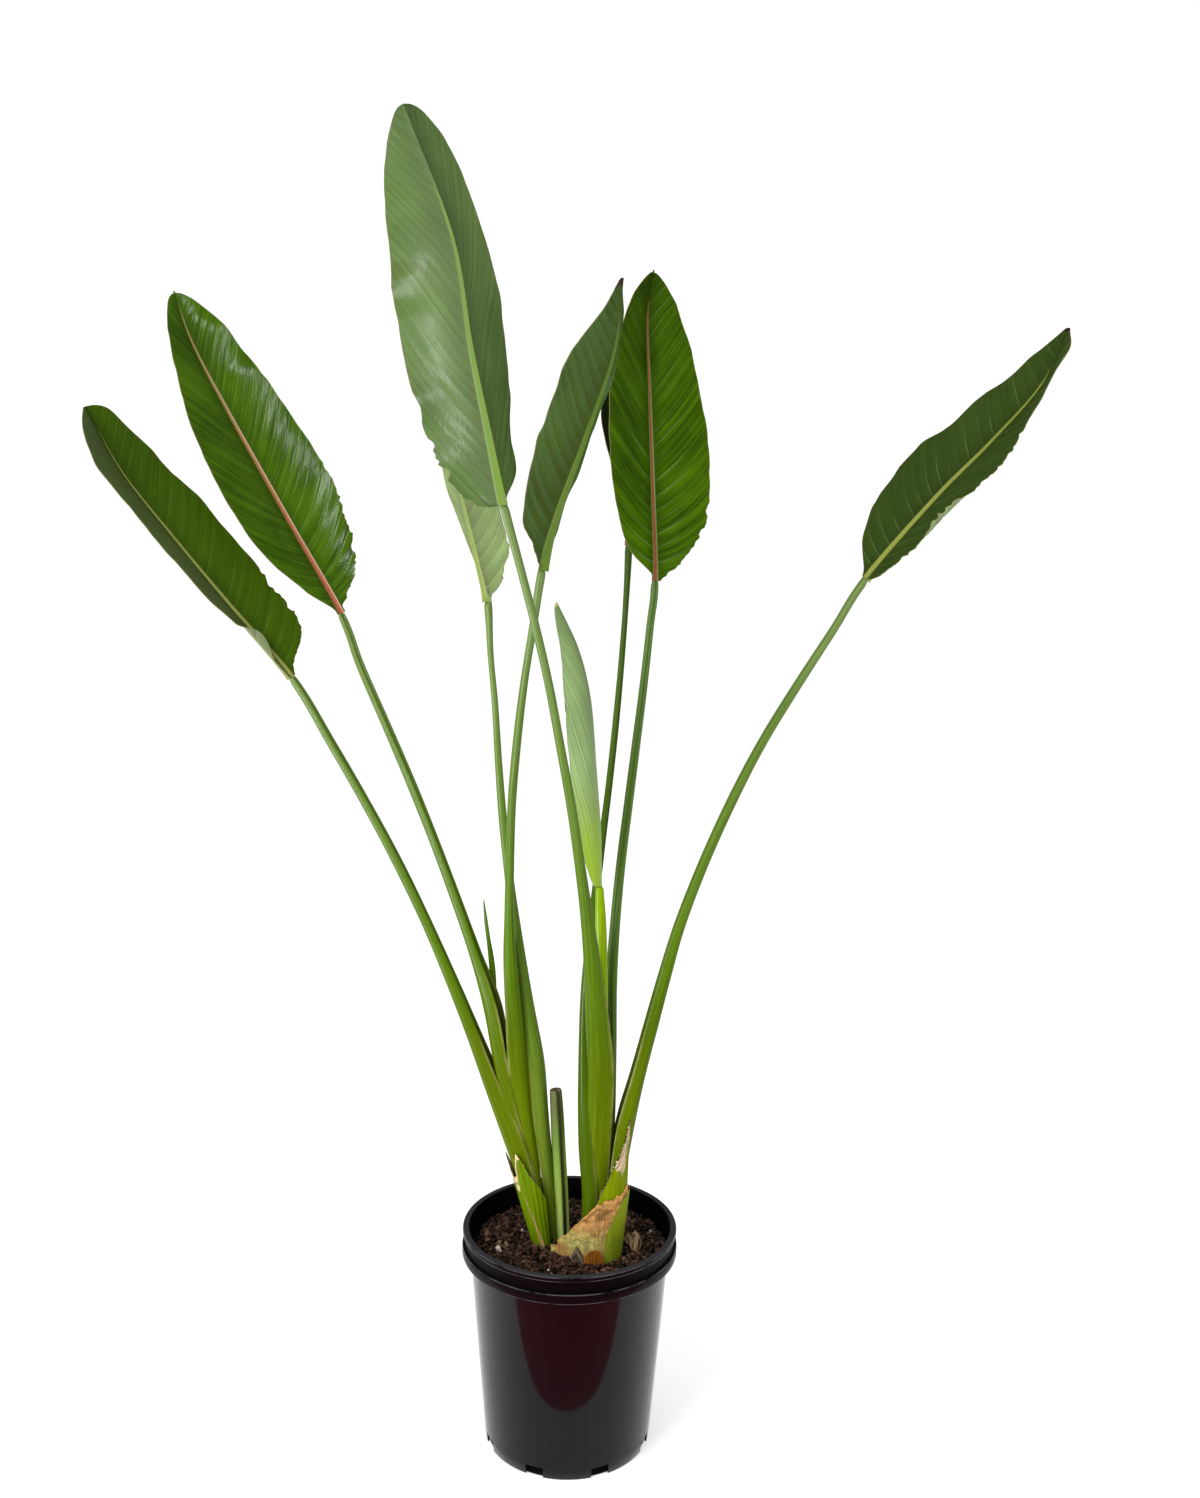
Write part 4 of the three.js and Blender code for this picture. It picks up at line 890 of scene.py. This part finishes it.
def sheath_finish(name, look):
    """Green flesh that dries to husk along its edge, with what else its look names."""
    green, husk = look["green"], look["husk"]
    f = Finish("sheath_" + name, Specular_IOR_Level=0.03)
    where = f.where()
    around, turn, from_top, reach = (f.read(title) for title in ("around", "turn", "from_top", "dry"))
    height = f.parts(where)[2]
    fibre = f.noise(f.join(around * 700.0, height * 30.0), 1.0, 4.0, 0.6)
    blotch = f.noise(where, 70.0, 4.0)
    crease = f.noise(f.join(around * 46.0, from_top * 190.0), 1.0, 5.0, 0.6)
    flesh = f.mix(fibre.within(0.25, 0.8), shaded(green, 0.78), shaded(green, 0.98))
    dried = f.mix(crease.within(0.32, 0.6), shaded(husk, 0.58), shaded(husk, 1.08))
    dried = f.mix(blotch.within(0.5, 0.66) * look["stain"], dried, shaded(husk, 0.5))
    dryness = (from_top / reach + (blotch - 0.5) * 0.9).within(1.15, 0.75)
    tone = f.mix(dryness, flesh, dried)
    if "crown" in look:
        crown, top = look["crown"], look["crown_top"] * MM
        speckle = f.noise(where, 240.0, 4.0, 0.7)
        pale = f.mix(speckle.within(0.3, 0.7), shaded(crown, 0.76), shaded(crown, 1.12))
        pale = f.mix(blotch.within(0.52, 0.64) * 0.7, pale, paint(158, 104, 58))
        front = (turn + (blotch - 0.5) * 30.0).within(-70.0, -82.0)
        low = (f.read("from_foot") + (blotch - 0.5) * 0.02).within(top, top * 0.7)
        tone = f.mix(front * low, tone, pale)
    if "aside" in look:
        side_tone = f.mix(crease.within(0.4, 0.6), shaded(look["aside"], 0.45), shaded(look["aside"], 1.1))
        tone = f.mix(turn.within(-105.0, -107.0), tone, side_tone)
    seam = f.read("seam").within(0.3, 0.7)
    tone = f.mix(seam, tone, f.mix(crease, paint(120, 62, 40), paint(206, 170, 122)))
    edge = (from_top + blotch * 0.001).within(look["edge"] * MM, look["edge"] * MM * 0.4)
    bead = f.noise(f.join(around * 300.0, height * 300.0), 1.0, 2.0).within(0.36, 0.5)
    tone = f.mix(edge * bead, tone, shaded(husk, look["brink"]))
    f.feed("Base Color", tone)
    f.feed("Roughness", 0.36 + dryness * 0.3 + fibre * 0.1)
    f.relief(fibre * 0.7 + crease * (dryness + 0.3), 0.0009, 0.8)
    return f.material


def stub_finish():
    """The cut stub: pale and fibrous at its foot, with painted shade inside its channel."""
    f = Finish("stub_flesh", Specular_IOR_Level=0.15)
    where = f.where()
    lines = f.noise(f.join(f.read("around") * 2.6, f.read("run") * 12.0), 1.0, 4.0, 0.6)
    level = f.parts(where)[2]
    tone = f.ramp((level + (lines - 0.5) * 0.03) / 0.4, [
        (0.53, paint(172, 186, 112)), (0.62, paint(150, 172, 78)), (0.72, paint(126, 154, 52)),
        (0.82, paint(92, 126, 18)), (0.9, paint(82, 92, 36))])
    tone = f.scaled(tone, 0.75 + lines * 0.5)
    # painted shade: the inside of the channel is painted dark grey-green
    tone = f.mix(f.read("inside").within(0.2, 0.8), tone, paint(84, 96, 56))
    tone = f.mix(level.within((STUB_TOP - 3.5) * MM, (STUB_TOP - 2) * MM), tone, paint(92, 84, 52))
    f.feed("Base Color", tone)
    f.feed("Roughness", 0.36 + lines * 0.2)
    f.relief(lines, 0.0004, 0.7)
    return f.material


# Pot

def spun(name, outline, steps=160):
    """A turned shell: a circle's corners become its outline, which is spun round the pot's axis."""
    piece = added(bpy.ops.mesh.primitive_circle_add, name, vertices=len(outline), radius=0.01)
    for vertex, (radius, height) in zip(piece.data.vertices, outline):
        vertex.co = (radius * MM, 0, height * MM)
    bpy.ops.object.mode_set(mode="EDIT")
    bpy.ops.mesh.select_all(action="SELECT")
    bpy.ops.mesh.spin(steps=steps, angle=2 * math.pi, center=(0, 0, 0), axis=(0, 0, 1))
    bpy.ops.mesh.select_all(action="SELECT")
    bpy.ops.mesh.remove_doubles(threshold=2e-6)
    bpy.ops.mesh.normals_make_consistent(inside=False)
    bpy.ops.object.mode_set(mode="OBJECT")
    return piece


def pot_outline():
    """The pot's section as radius and height, from the middle of its floor round the wall."""
    def wall(z):
        return lerp(FOOT_RADIUS, WALL_TOP_RADIUS, z / BAND_LOW)

    def inner(z):
        return wall(z) - WALL_THICKNESS

    return [
        (0, FLOOR_UNDER), (inner(FLOOR_UNDER), FLOOR_UNDER), (inner(0) + 0.3, 0.3), (inner(0) + 0.8, 0),
        (FOOT_RADIUS - 0.5, 0), (FOOT_RADIUS, 0.6), (wall(12), 12), (wall(100), 100),
        (wall(BAND_LOW - 6), BAND_LOW - 6), (wall(BAND_LOW) + 0.4, BAND_LOW - 1.2),
        (wall(BAND_LOW) + 1.6, BAND_LOW - 0.2),
        (BAND_RADIUS - 1.4, BAND_LOW), (BAND_RADIUS - 0.4, BAND_LOW + 0.4),
        (BAND_RADIUS, BAND_LOW + 1.6), (BAND_RADIUS, BAND_HIGH - 1.8),
        (BAND_RADIUS - 0.5, BAND_HIGH - 0.5), (BAND_RADIUS - 1.6, BAND_HIGH),
        (RECESS_RADIUS + 1.2, BAND_HIGH + 0.2), (RECESS_RADIUS + 0.3, BAND_HIGH + 0.9),
        (RECESS_RADIUS, BAND_HIGH + 2), (RECESS_RADIUS, BEAD_LOW - 1.8),
        (RECESS_RADIUS + 0.4, BEAD_LOW - 0.5),
        (RIM_RADIUS - 1.2, BEAD_LOW), (RIM_RADIUS - 0.3, BEAD_LOW + 0.5), (RIM_RADIUS, BEAD_LOW + 1.6),
        (RIM_RADIUS, POT_HEIGHT - 2), (RIM_RADIUS - 0.5, POT_HEIGHT - 0.6),
        (RIM_RADIUS - 1.6, POT_HEIGHT), (LIP_INNER_RADIUS + 2.2, POT_HEIGHT),
        (LIP_INNER_RADIUS + 0.7, POT_HEIGHT - 0.5), (LIP_INNER_RADIUS, POT_HEIGHT - 2),
        (inner(BAND_LOW) + 1, BAND_LOW + 8), (inner(BAND_LOW), BAND_LOW),
        (inner(100), 100), (inner(FLOOR_TOP), FLOOR_TOP), (0, FLOOR_TOP),
    ]


def make_pot():
    """The pot, with its drain notches cut through the foot, whose cutters stand out of the wall."""
    pot = spun("nursery_pot", pot_outline())
    length = NOTCH_DEPTH + NOTCH_OVERSHOOT
    reach = (FOOT_RADIUS + NOTCH_OVERSHOOT - length / 2) * MM
    cutters = []
    for i in range(NOTCH_COUNT):
        angle = NOTCH_TURN + (i + 0.5) * 2 * math.pi / NOTCH_COUNT
        cutters.append(added(
            bpy.ops.mesh.primitive_cube_add, "notch_cutter", size=1, rotation=(0, 0, angle),
            location=(reach * math.sin(angle), -reach * math.cos(angle), 0),
            scale=(NOTCH_WIDTH * MM, length * MM, 2 * NOTCH_HEIGHT * MM)))
    cutter = joined(cutters)
    bpy.ops.object.transform_apply()
    only(pot)
    cut = pot.modifiers.new("Drain notches", "BOOLEAN")
    cut.operation, cut.object, cut.solver = "DIFFERENCE", cutter, "EXACT"
    bpy.ops.object.modifier_apply(modifier=cut.name)
    bpy.data.objects.remove(cutter)
    only(pot)
    bpy.ops.object.shade_smooth_by_angle(angle=math.radians(35))
    return pot


def pot_finish():
    """Glossy black plastic, duller round the rim, with painted highlights along its lip and edges, dust and
    fine scuffs.
    """
    f = Finish("dark_pot_plastic", Specular_IOR_Level=0.05, Coat_IOR=1.235, Coat_Roughness=0.07)
    where = f.where()
    x, y, z = f.parts(where)
    dust = f.noise(where, 9.0, 5.0, 0.6)
    scuffs = f.noise(f.join(x * 500.0, y * 500.0, z * 18.0), 1.0, 3.0)
    speck = f.noise(where, 700.0, 2.0)
    highlight_breaks = f.noise(where, 60.0, 3.0)
    tone = f.mix(dust.within(0.45, 0.8) * 0.4, paint(9, 6, 8), paint(22, 18, 20))
    tone = f.mix(speck.within(0.74, 0.8) * 0.35, tone, paint(90, 80, 78))
    wall = z.within((BAND_LOW + 0.2) * MM, (BAND_LOW - 0.8) * MM)
    recess = z.within((BAND_HIGH - 0.2) * MM, (BAND_HIGH + 0.8) * MM)
    recess = recess * z.within((BEAD_LOW + 0.2) * MM, (BEAD_LOW - 0.6) * MM)
    # painted highlight: a lighter grey ring round the lip's top edge
    lip = z.within((POT_HEIGHT - 1) * MM, (POT_HEIGHT - 0.3) * MM)
    tone = f.mix(lip, tone, paint(52, 52, 56))
    # painted highlights: thin pale lines along the band's and the rim's edges, broken in places
    outside = ((x * x + y * y) ** 0.5).within((RECESS_RADIUS - 2) * MM, (RECESS_RADIUS - 1) * MM)
    lines = 0.0
    for level in (BAND_LOW + 0.7, BAND_HIGH - 0.9, BEAD_LOW + 0.8, POT_HEIGHT - 1.2):
        lines = (z - level * MM).size().within(0.0007, 0.0002) + lines
    tone = f.mix(lines * outside * highlight_breaks.within(0.3, 0.6) * 0.8, tone, paint(84, 84, 92))
    f.feed("Base Color", tone)
    f.feed("Roughness", 0.4 + dust * 0.2)
    f.feed("Coat Weight", wall + (1.0 - wall) * (1.0 - recess) * 0.3)
    f.relief(scuffs, 0.00003, 0.4)
    return f.material


# Soil

def soil_height(x, y):
    return SOIL_TOP + SOIL_CROWN * (1 - (x * x + y * y) / SOIL_RADIUS ** 2)


def make_soil():
    """The soil plug: a disc run down the inside of the pot, its top drawn in rings and roughened."""
    edge, foot = (
        lerp(FOOT_RADIUS, WALL_TOP_RADIUS, level / BAND_LOW) - WALL_THICKNESS - SOIL_GAP
        for level in (SOIL_TOP, FLOOR_TOP))
    rings = 44
    outline = [(0, FLOOR_TOP + SOIL_GAP), (foot, FLOOR_TOP + SOIL_GAP), (edge, SOIL_TOP - 3)]
    outline += [(edge * (1 - i / rings), SOIL_TOP) for i in range(rings)] + [(0, SOIL_TOP)]
    soil = spun("potting_soil", outline, steps=140)
    rng = np.random.default_rng(3)
    for vertex in soil.data.vertices:
        if vertex.co.z > (SOIL_TOP - 1) * MM:
            x, y = vertex.co.x / MM, vertex.co.y / MM
            vertex.co.z = (soil_height(x, y) - 3.5 + rng.uniform(-1.2, 1.2)) * MM
    only(soil)
    bpy.ops.object.shade_flat()
    return soil


def make_chunk(seed):
    """One crumb of bark: a ball of few faces, squashed and broken."""
    crumb = added(
        bpy.ops.mesh.primitive_ico_sphere_add, "crumb", radius=0.5, subdivisions=2 if seed % 3 == 0 else 1)
    rng = np.random.default_rng(seed)
    points = np.array([vertex.co for vertex in crumb.data.vertices])
    points *= rng.uniform(0.72, 1.18, (len(points), 1))
    faces = [tuple(polygon.vertices) for polygon in crumb.data.polygons]
    bpy.data.objects.remove(crumb)
    return points, faces


def make_granules():
    """Crumbs of bark laid over the soil, each a turned copy of one of a few shapes."""
    rng = np.random.default_rng(12)
    shapes = [make_chunk(seed) for seed in range(20, 28)]
    verts, faces, shades = [], [], []
    start = 0
    for _ in range(CRUMB_COUNT):
        radius, angle = (SOIL_RADIUS - 1.5) * math.sqrt(rng.uniform()), rng.uniform(0, 2 * math.pi)
        x, y = radius * math.cos(angle), radius * math.sin(angle)
        size = 1.9 + 4.2 * rng.uniform() ** 2.4
        points, parts = shapes[rng.integers(len(shapes))]
        spread = size * np.array([rng.uniform(1.1, 1.9), rng.uniform(0.6, 1.0), rng.uniform(0.4, 0.8)])
        turn = Matrix.Rotation(rng.uniform(0, 6.3), 3, "Z")
        for axis in "XY":
            turn = turn @ Matrix.Rotation(rng.normal(0, 0.5), 3, axis)
        lift = soil_height(x, y) - 2.6 + 0.3 * size + rng.uniform(-0.6, 1.6)
        inward = min(1.0, (SOIL_RADIUS + 0.5 - 0.6 * size) / max(radius, 1))
        verts.append((points * spread) @ np.array(turn).T + (x * inward, y * inward, lift))
        faces += [tuple(k + start for k in face) for face in parts]
        shades += [rng.uniform()] * len(points)
        start += len(points)
    mesh = bpy.data.meshes.new("soil_granules")
    mesh.from_pydata(np.vstack(verts) * MM, [], faces)
    granules = bpy.data.objects.new("soil_granules", mesh)
    bpy.context.scene.collection.objects.link(granules)
    mark(granules, "shade", shades)
    only(granules)
    bpy.ops.object.mode_set(mode="EDIT")
    bpy.ops.mesh.select_all(action="SELECT")
    bpy.ops.mesh.normals_make_consistent(inside=False)
    bpy.ops.object.mode_set(mode="OBJECT")
    return granules


def soil_finish(name, lift=1.0):
    """Dark bark crumbs, each in a shade of its own; lift lightens or darkens them all."""
    f = Finish("soil_" + name, Roughness=0.9)
    where = f.where()
    shade = f.read("shade")
    grain = f.noise(where, 420.0, 4.0, 0.7)
    tone = f.ramp(shade * 0.8 + grain * 0.25, [
        (0.0, shaded((24, 15, 12), lift)), (0.35, shaded((50, 33, 26), lift)),
        (0.7, shaded((78, 54, 42), lift)), (0.9, shaded((112, 80, 62), lift)),
        (1.0, shaded((160, 124, 98), lift))])
    f.feed("Base Color", tone)
    f.relief(grain, 0.0008, 0.9)
    return f.material


# The chip's outline: height, left and right edge
CHIP_ROWS = [(-8.5, 1, 4), (-5, -2, 6.5), (0, -6, 8.5), (4, -8.5, 9.5), (7, -9.5, 8), (9, -9, 4)]
CHIP_HALF_THICKNESS = 1.6
CHIP_CENTRE = (66, -13, 219.5)
CHIP_SCALE = 1.15
CHIP_LEAN = 1.05


def make_bark_chip():
    """A broken slab of fibrous bark, ridged along its grain and ragged at its top."""
    share = np.linspace(0, 1, 30)[:, None]
    y, left, right = smooth(CHIP_ROWS, share[:, 0] * (len(CHIP_ROWS) - 1)).T[..., None]
    across = (1 - np.cos(np.linspace(0, np.pi, 34))) / 2
    x = lerp(left, right, across)
    y = y + 3.4 * wander(across * 17, 1.2, 71) * share ** 3
    grain = 0.6 * wander(across * 17 + 0.4 * y, 0.8, 72) + 0.6 * wander(across * 17 - 0.3 * y, 2.3, 73)
    swell = np.sqrt(np.clip(1 - (2 * across - 1) ** 4, 0, 1))
    front = CHIP_HALF_THICKNESS * swell + grain * swell + 0.3 * wander(y * 3 + x, 1.5, 74)
    back = np.broadcast_to(-CHIP_HALF_THICKNESS * swell, x.shape)
    depth = np.concatenate([front, back[:, ::-1]], axis=1)
    flat = np.stack([there_and_back(x), there_and_back(y), depth], axis=-1)
    turn = np.array(Matrix.Rotation(CHIP_LEAN, 3, "X"))
    rings = CHIP_SCALE * flat @ turn.T + CHIP_CENTRE
    return rolled("bark_chip", rings, {"grain": there_and_back(grain)}, sharp=30)


def bark_finish():
    """Pale fibres with dark gaps between them: the fibres' own colour, and painted shade in the grooves of
    the grain.
    """
    f = Finish("bark_fibres", Roughness=0.85)
    where = f.where()
    x, y, z = f.parts(where)
    fibre = f.noise(f.join(x * 900.0, y * 60.0, z * 60.0), 1.0, 3.0)
    # partly painted shade: where the grain ridges are low, the chip is painted dark
    ridge = (f.read("grain") + (fibre - 0.5) * 3.2).within(-0.8, 0.7)
    tone = f.mix(ridge, paint(48, 34, 25), paint(184, 154, 114))
    stain = f.noise(where, 120.0).within(0.55, 0.7) * 0.5
    f.feed("Base Color", f.mix(stain, tone, paint(110, 84, 58)))
    f.relief(fibre, 0.0008, 0.8)
    return f.material


# Grains of white perlite on the soil: x, y and radius
PERLITE = [(-74, -20, 3.0), (-71, -24, 1.3), (-51, 19, 1.5), (86, 24, 1.7), (-20, -62, 1.2), (52, -70, 1.1)]


def make_perlite():
    """A few lumpy grains, joined into one piece."""
    grains = []
    for seed, (x, y, radius) in enumerate(PERLITE, 80):
        grain = added(bpy.ops.mesh.primitive_ico_sphere_add, "perlite", subdivisions=3, radius=1)
        rng = np.random.default_rng(seed)
        points = np.array([vertex.co for vertex in grain.data.vertices])
        points *= radius * (1 + 0.16 * np.sin(points @ rng.uniform(-4, 4, (3, 3)) + rng.uniform(0, 6, 3)))
        points += (x, y, soil_height(x, y) + 0.35 * radius)
        grain.data.vertices.foreach_set("co", (points * MM).astype(np.float32).ravel())
        grains.append(grain)
    perlite = joined(grains)
    bpy.ops.object.shade_smooth()
    return perlite


def perlite_finish():
    f = Finish("perlite_grains", Roughness=0.9)
    where = f.where()
    pores = f.noise(where, 900.0, 3.0)
    f.feed("Base Color", f.mix(pores.within(0.4, 0.6), paint(150, 140, 130), paint(216, 210, 202)))
    f.relief(pores, 0.0006, 0.9)
    return f.material


# The photograph's camera, plain studio light and a pale floor

FOCAL_PIXELS = 1450
FRAME_WIDTH = 1200
SENSOR_WIDTH = 36
PITCH_DOWN = math.radians(9.04)
ROLL = math.radians(0.91)
CAMERA_PLACE = (0.0238, -1.427, 0.9666)
FILL_STRENGTH = 0.64
GLOSS_STRENGTH = 0.1
EYE_STRENGTH = 1.1
SWEEP_EDGE = -0.178
SWEEP_MIDDLE = 0.012
SWEEP_HALF_WIDTH = 0.4
SWEEP_CURVE = 0.15
CARD_SIZE = (3.0, 2.4)


def set_camera():
    data = bpy.data.cameras.new("photo_camera")
    data.sensor_fit = "HORIZONTAL"
    data.sensor_width = SENSOR_WIDTH
    data.lens = FOCAL_PIXELS / FRAME_WIDTH * SENSOR_WIDTH
    data.clip_start, data.clip_end = 0.05, 50
    camera = bpy.data.objects.new("photo_camera", data)
    bpy.context.scene.collection.objects.link(camera)
    cos_roll, sin_roll = math.cos(ROLL), math.sin(ROLL)
    cos_pitch, sin_pitch = math.cos(PITCH_DOWN), math.sin(PITCH_DOWN)
    right = (cos_roll, sin_roll * sin_pitch, sin_roll * cos_pitch)
    up = (-sin_roll, cos_roll * sin_pitch, cos_roll * cos_pitch)
    back = (0, -cos_pitch, sin_pitch)
    turn = Matrix((right, up, back)).transposed().to_4x4()
    camera.matrix_world = Matrix.Translation(CAMERA_PLACE) @ turn
    bpy.context.scene.camera = camera


def add_panel(name, place_at, aim, size, strength):
    data = bpy.data.lights.new(name, "AREA")
    data.shape, data.size, data.size_y, data.energy = "RECTANGLE", size[0], size[1], strength
    light = bpy.data.objects.new(name, data)
    bpy.context.scene.collection.objects.link(light)
    way = Matrix.Translation(place_at).to_translation() - Matrix.Translation(aim).to_translation()
    light.location = place_at
    light.rotation_euler = way.to_track_quat("Z", "Y").to_euler()
    return light


def set_backdrop():
    """A world white to the eye, softer as fill, and dark in reflections, as a studio is."""
    world = bpy.data.worlds.new("studio")
    bpy.context.scene.world = world
    world.use_nodes = True
    world.cycles.sampling_method = "NONE"
    nodes, links = world.node_tree.nodes, world.node_tree.links
    backdrop = nodes["Background"]
    backdrop.inputs["Color"].default_value = (1, 1, 1, 1)
    rays = nodes.new("ShaderNodeLightPath")
    for_eye, for_gloss = nodes.new("ShaderNodeMix"), nodes.new("ShaderNodeMix")
    for_eye.inputs["A"].default_value = FILL_STRENGTH
    for_eye.inputs["B"].default_value = EYE_STRENGTH
    for_gloss.inputs["B"].default_value = GLOSS_STRENGTH
    links.new(rays.outputs["Is Camera Ray"], for_eye.inputs["Factor"])
    links.new(rays.outputs["Is Glossy Ray"], for_gloss.inputs["Factor"])
    links.new(for_eye.outputs["Result"], for_gloss.inputs["A"])
    links.new(for_gloss.outputs["Result"], backdrop.inputs["Strength"])


def add_floor():
    """A pale, evenly lit floor, with a painted shadow under the pot so that nothing shines out of its
    notches.
    """
    floor = added(bpy.ops.mesh.primitive_plane_add, "studio_floor", size=14)
    f = Finish("pale_floor", Roughness=0.8, Specular_IOR_Level=0.1, Emission_Strength=0.46)
    where = f.where()
    x, y = f.parts(where)[:2]
    # painted shadow: the floor under the pot is dark, in its colour and in its glow
    painted_shadow_under_pot = ((x * x + y * y) ** 0.5).within((FOOT_RADIUS - 2) * MM, (FOOT_RADIUS - 4) * MM)
    tint = f.mix(f.noise(where, 3.0, 2.0), paint(243, 243, 243), paint(247, 247, 247))
    f.feed("Base Color", f.mix(painted_shadow_under_pot, tint, paint(24, 22, 22)))
    f.feed("Emission Color", f.mix(painted_shadow_under_pot, (1, 1, 1, 1), (0.005, 0.005, 0.005, 1)))
    floor.data.materials.append(f.material)


def add_dark_card():
    """The dark red studio floor in front of the pale sweep, seen only as a reflection in the pot."""
    wide, deep = CARD_SIZE
    dark = added(bpy.ops.mesh.primitive_grid_add, "dark_foreground", size=1, x_subdivisions=60,
                 y_subdivisions=1, location=(0, SWEEP_EDGE - deep / 2, 0.002))
    dark.scale = (wide, deep, 1)
    bpy.ops.object.transform_apply()
    for vertex in dark.data.vertices:
        off = min(abs(vertex.co.x - SWEEP_MIDDLE), SWEEP_HALF_WIDTH)
        vertex.co.y += SWEEP_CURVE * off ** 2
    f = Finish("dark_red_card", Roughness=0.9)
    f.feed("Base Color", f.mix(f.noise(f.where(), 5.0), paint(236, 38, 90), paint(242, 42, 98)))
    dark.data.materials.append(f.material)
    for ray in ("camera", "diffuse", "transmission", "shadow", "volume_scatter"):
        setattr(dark, "visible_" + ray, False)


def set_studio():
    bpy.context.scene.view_settings.view_transform = "Standard"
    set_backdrop()
    key = add_panel("key_light", (-1.7, -2.0, 2.4), (0, 0, 0.8), (1.6, 1.6), 60)
    fill = add_panel("fill_light", (1.9, -1.6, 1.6), (0, 0, 0.8), (1.2, 1.6), 6)
    key.visible_glossy = fill.visible_glossy = False
    add_floor()
    add_dark_card()


# The plant

def add_leaves():
    slots = {part["node"]: part["material_slot"] for part in frame["record"]["subparts"]}
    for seed, (name, leaf) in enumerate(LEAVES.items(), 11):
        blade = rolled("leaf_" + name, *blade_rings(leaf, seed))
        place(blade, slots["blade_" + name], leaf_finish(name, LEAF_LOOKS[name]), "blade_" + name)
        stalk = rounded(rolled("petiole_" + name, *stalk_rings(leaf), sharp=180))
        place(stalk, "stalk", stalk_finish(name, (118, 142, 82)), "stalk_" + name)


def add_sheaths():
    for seed, (name, look) in enumerate(SHEATH_LOOKS.items(), 41):
        piece = rolled("sheath_" + name, *wrap_rings(WRAPS[name], seed), sharp=60)
        place(piece, look["slot"], sheath_finish(name, look), name)


def add_stub():
    stub = rounded(rolled("cut_leaf_stub", *stalk_rings(STUB), sharp=180))
    place(stub, "cut_stub", stub_finish(), "cut_stub")


def add_spear():
    """The next leaf of the left fan, still rolled up: a thin cone with a soft spiral ridge."""
    rows = smooth(SPEAR, np.linspace(0, len(SPEAR) - 1, 40))
    turn = np.linspace(0, 2 * np.pi, SPEAR_SIDES, endpoint=False)
    forward = unit(np.gradient(rows[:, :3], axis=0))
    side = unit(np.cross(forward, (0, 1, 0)))
    up = np.cross(side, forward)
    spiral = 1 + 0.12 * np.cos(turn[None, :] * 2 + rows[:, 2:3] * 0.1)
    rings = rows[:, None, :3] + rows[:, 3:, None] * spiral[..., None] * (
        np.cos(turn)[None, :, None] * side[:, None] + np.sin(turn)[None, :, None] * up[:, None])
    marks = {"around": np.arange(SPEAR_SIDES)[None, :] * 0.5, "run": rows[:, 2:3] * MM,
             "margin": 0.0, "inside": 0.0}
    spear = rolled("rolled_spear", rings, marks, sharp=180)
    place(spear, "spear", stalk_finish("spear", (120, 146, 84)), "spear")


def add_soil():
    soil = make_soil()
    # painted shade: the bed under the crumbs is painted darker than they are, for the shade in the gaps
    # between them
    mark(soil, "shade", np.random.default_rng(5).uniform(0, 0.3, len(soil.data.vertices)))
    place(soil, "soil", soil_finish("bed", lift=0.4), "soil")
    place(make_granules(), "soil", soil_finish("crumbs"))
    place(make_perlite(), "soil", perlite_finish())
    place(make_bark_chip(), "bark", bark_finish(), "bark_chip")


def add_sheen():
    """Lamps that each light only the pieces they name, most of them only as a sheen."""
    petioles = ["petiole_" + name for name in LEAVES] + ["cut_leaf_stub", "rolled_spear"]
    sheaths = ["sheath_" + name for name in SHEATH_LOOKS]
    for name, place_at, aim, size, strength, lit in (
            ("high_lamp", (-0.36, -1.5, 2.62), (-0.3, 0.1, 1.1), (0.16, 0.3), 2, ["leaf_left"]),
            ("front_lamp", (0.0, -1.5, 2.0), (-0.3, 0.1, 1.0), (0.1, 0.7), 3, ["leaf_left"]),
            ("low_lamp", (0.08, -1.5, 0.62), (-0.1, -0.15, 1.1), (0.12, 0.14), 0.8, ["leaf_tall"]),
            ("side_strip", (-1.2, -0.9, 0.4), (0, 0, 0.5), (0.2, 1.0), 110, petioles + sheaths),
            ("side_panel", (-1.5, -1.3, 0.7), (0, 0, 0.5), (0.4, 0.9), 14, petioles + sheaths),
            ("overhead", (0, 0.3, 2.5), (0, 0, 0), (1.5, 1.5), 12, ["nursery_pot"])):
        lamp = add_panel(name, place_at, aim, size, strength)
        lamp.visible_diffuse = name == "side_panel"
        receivers = bpy.data.collections.new("lit_by_" + name)
        for piece in lit:
            receivers.objects.link(bpy.data.objects[piece])
        lamp.light_linking.receiver_collection = receivers


set_camera()
set_studio()
place(make_pot(), "pot", pot_finish(), "pot")
add_soil()
add_leaves()
add_sheaths()
add_stub()
add_spear()
add_sheen()
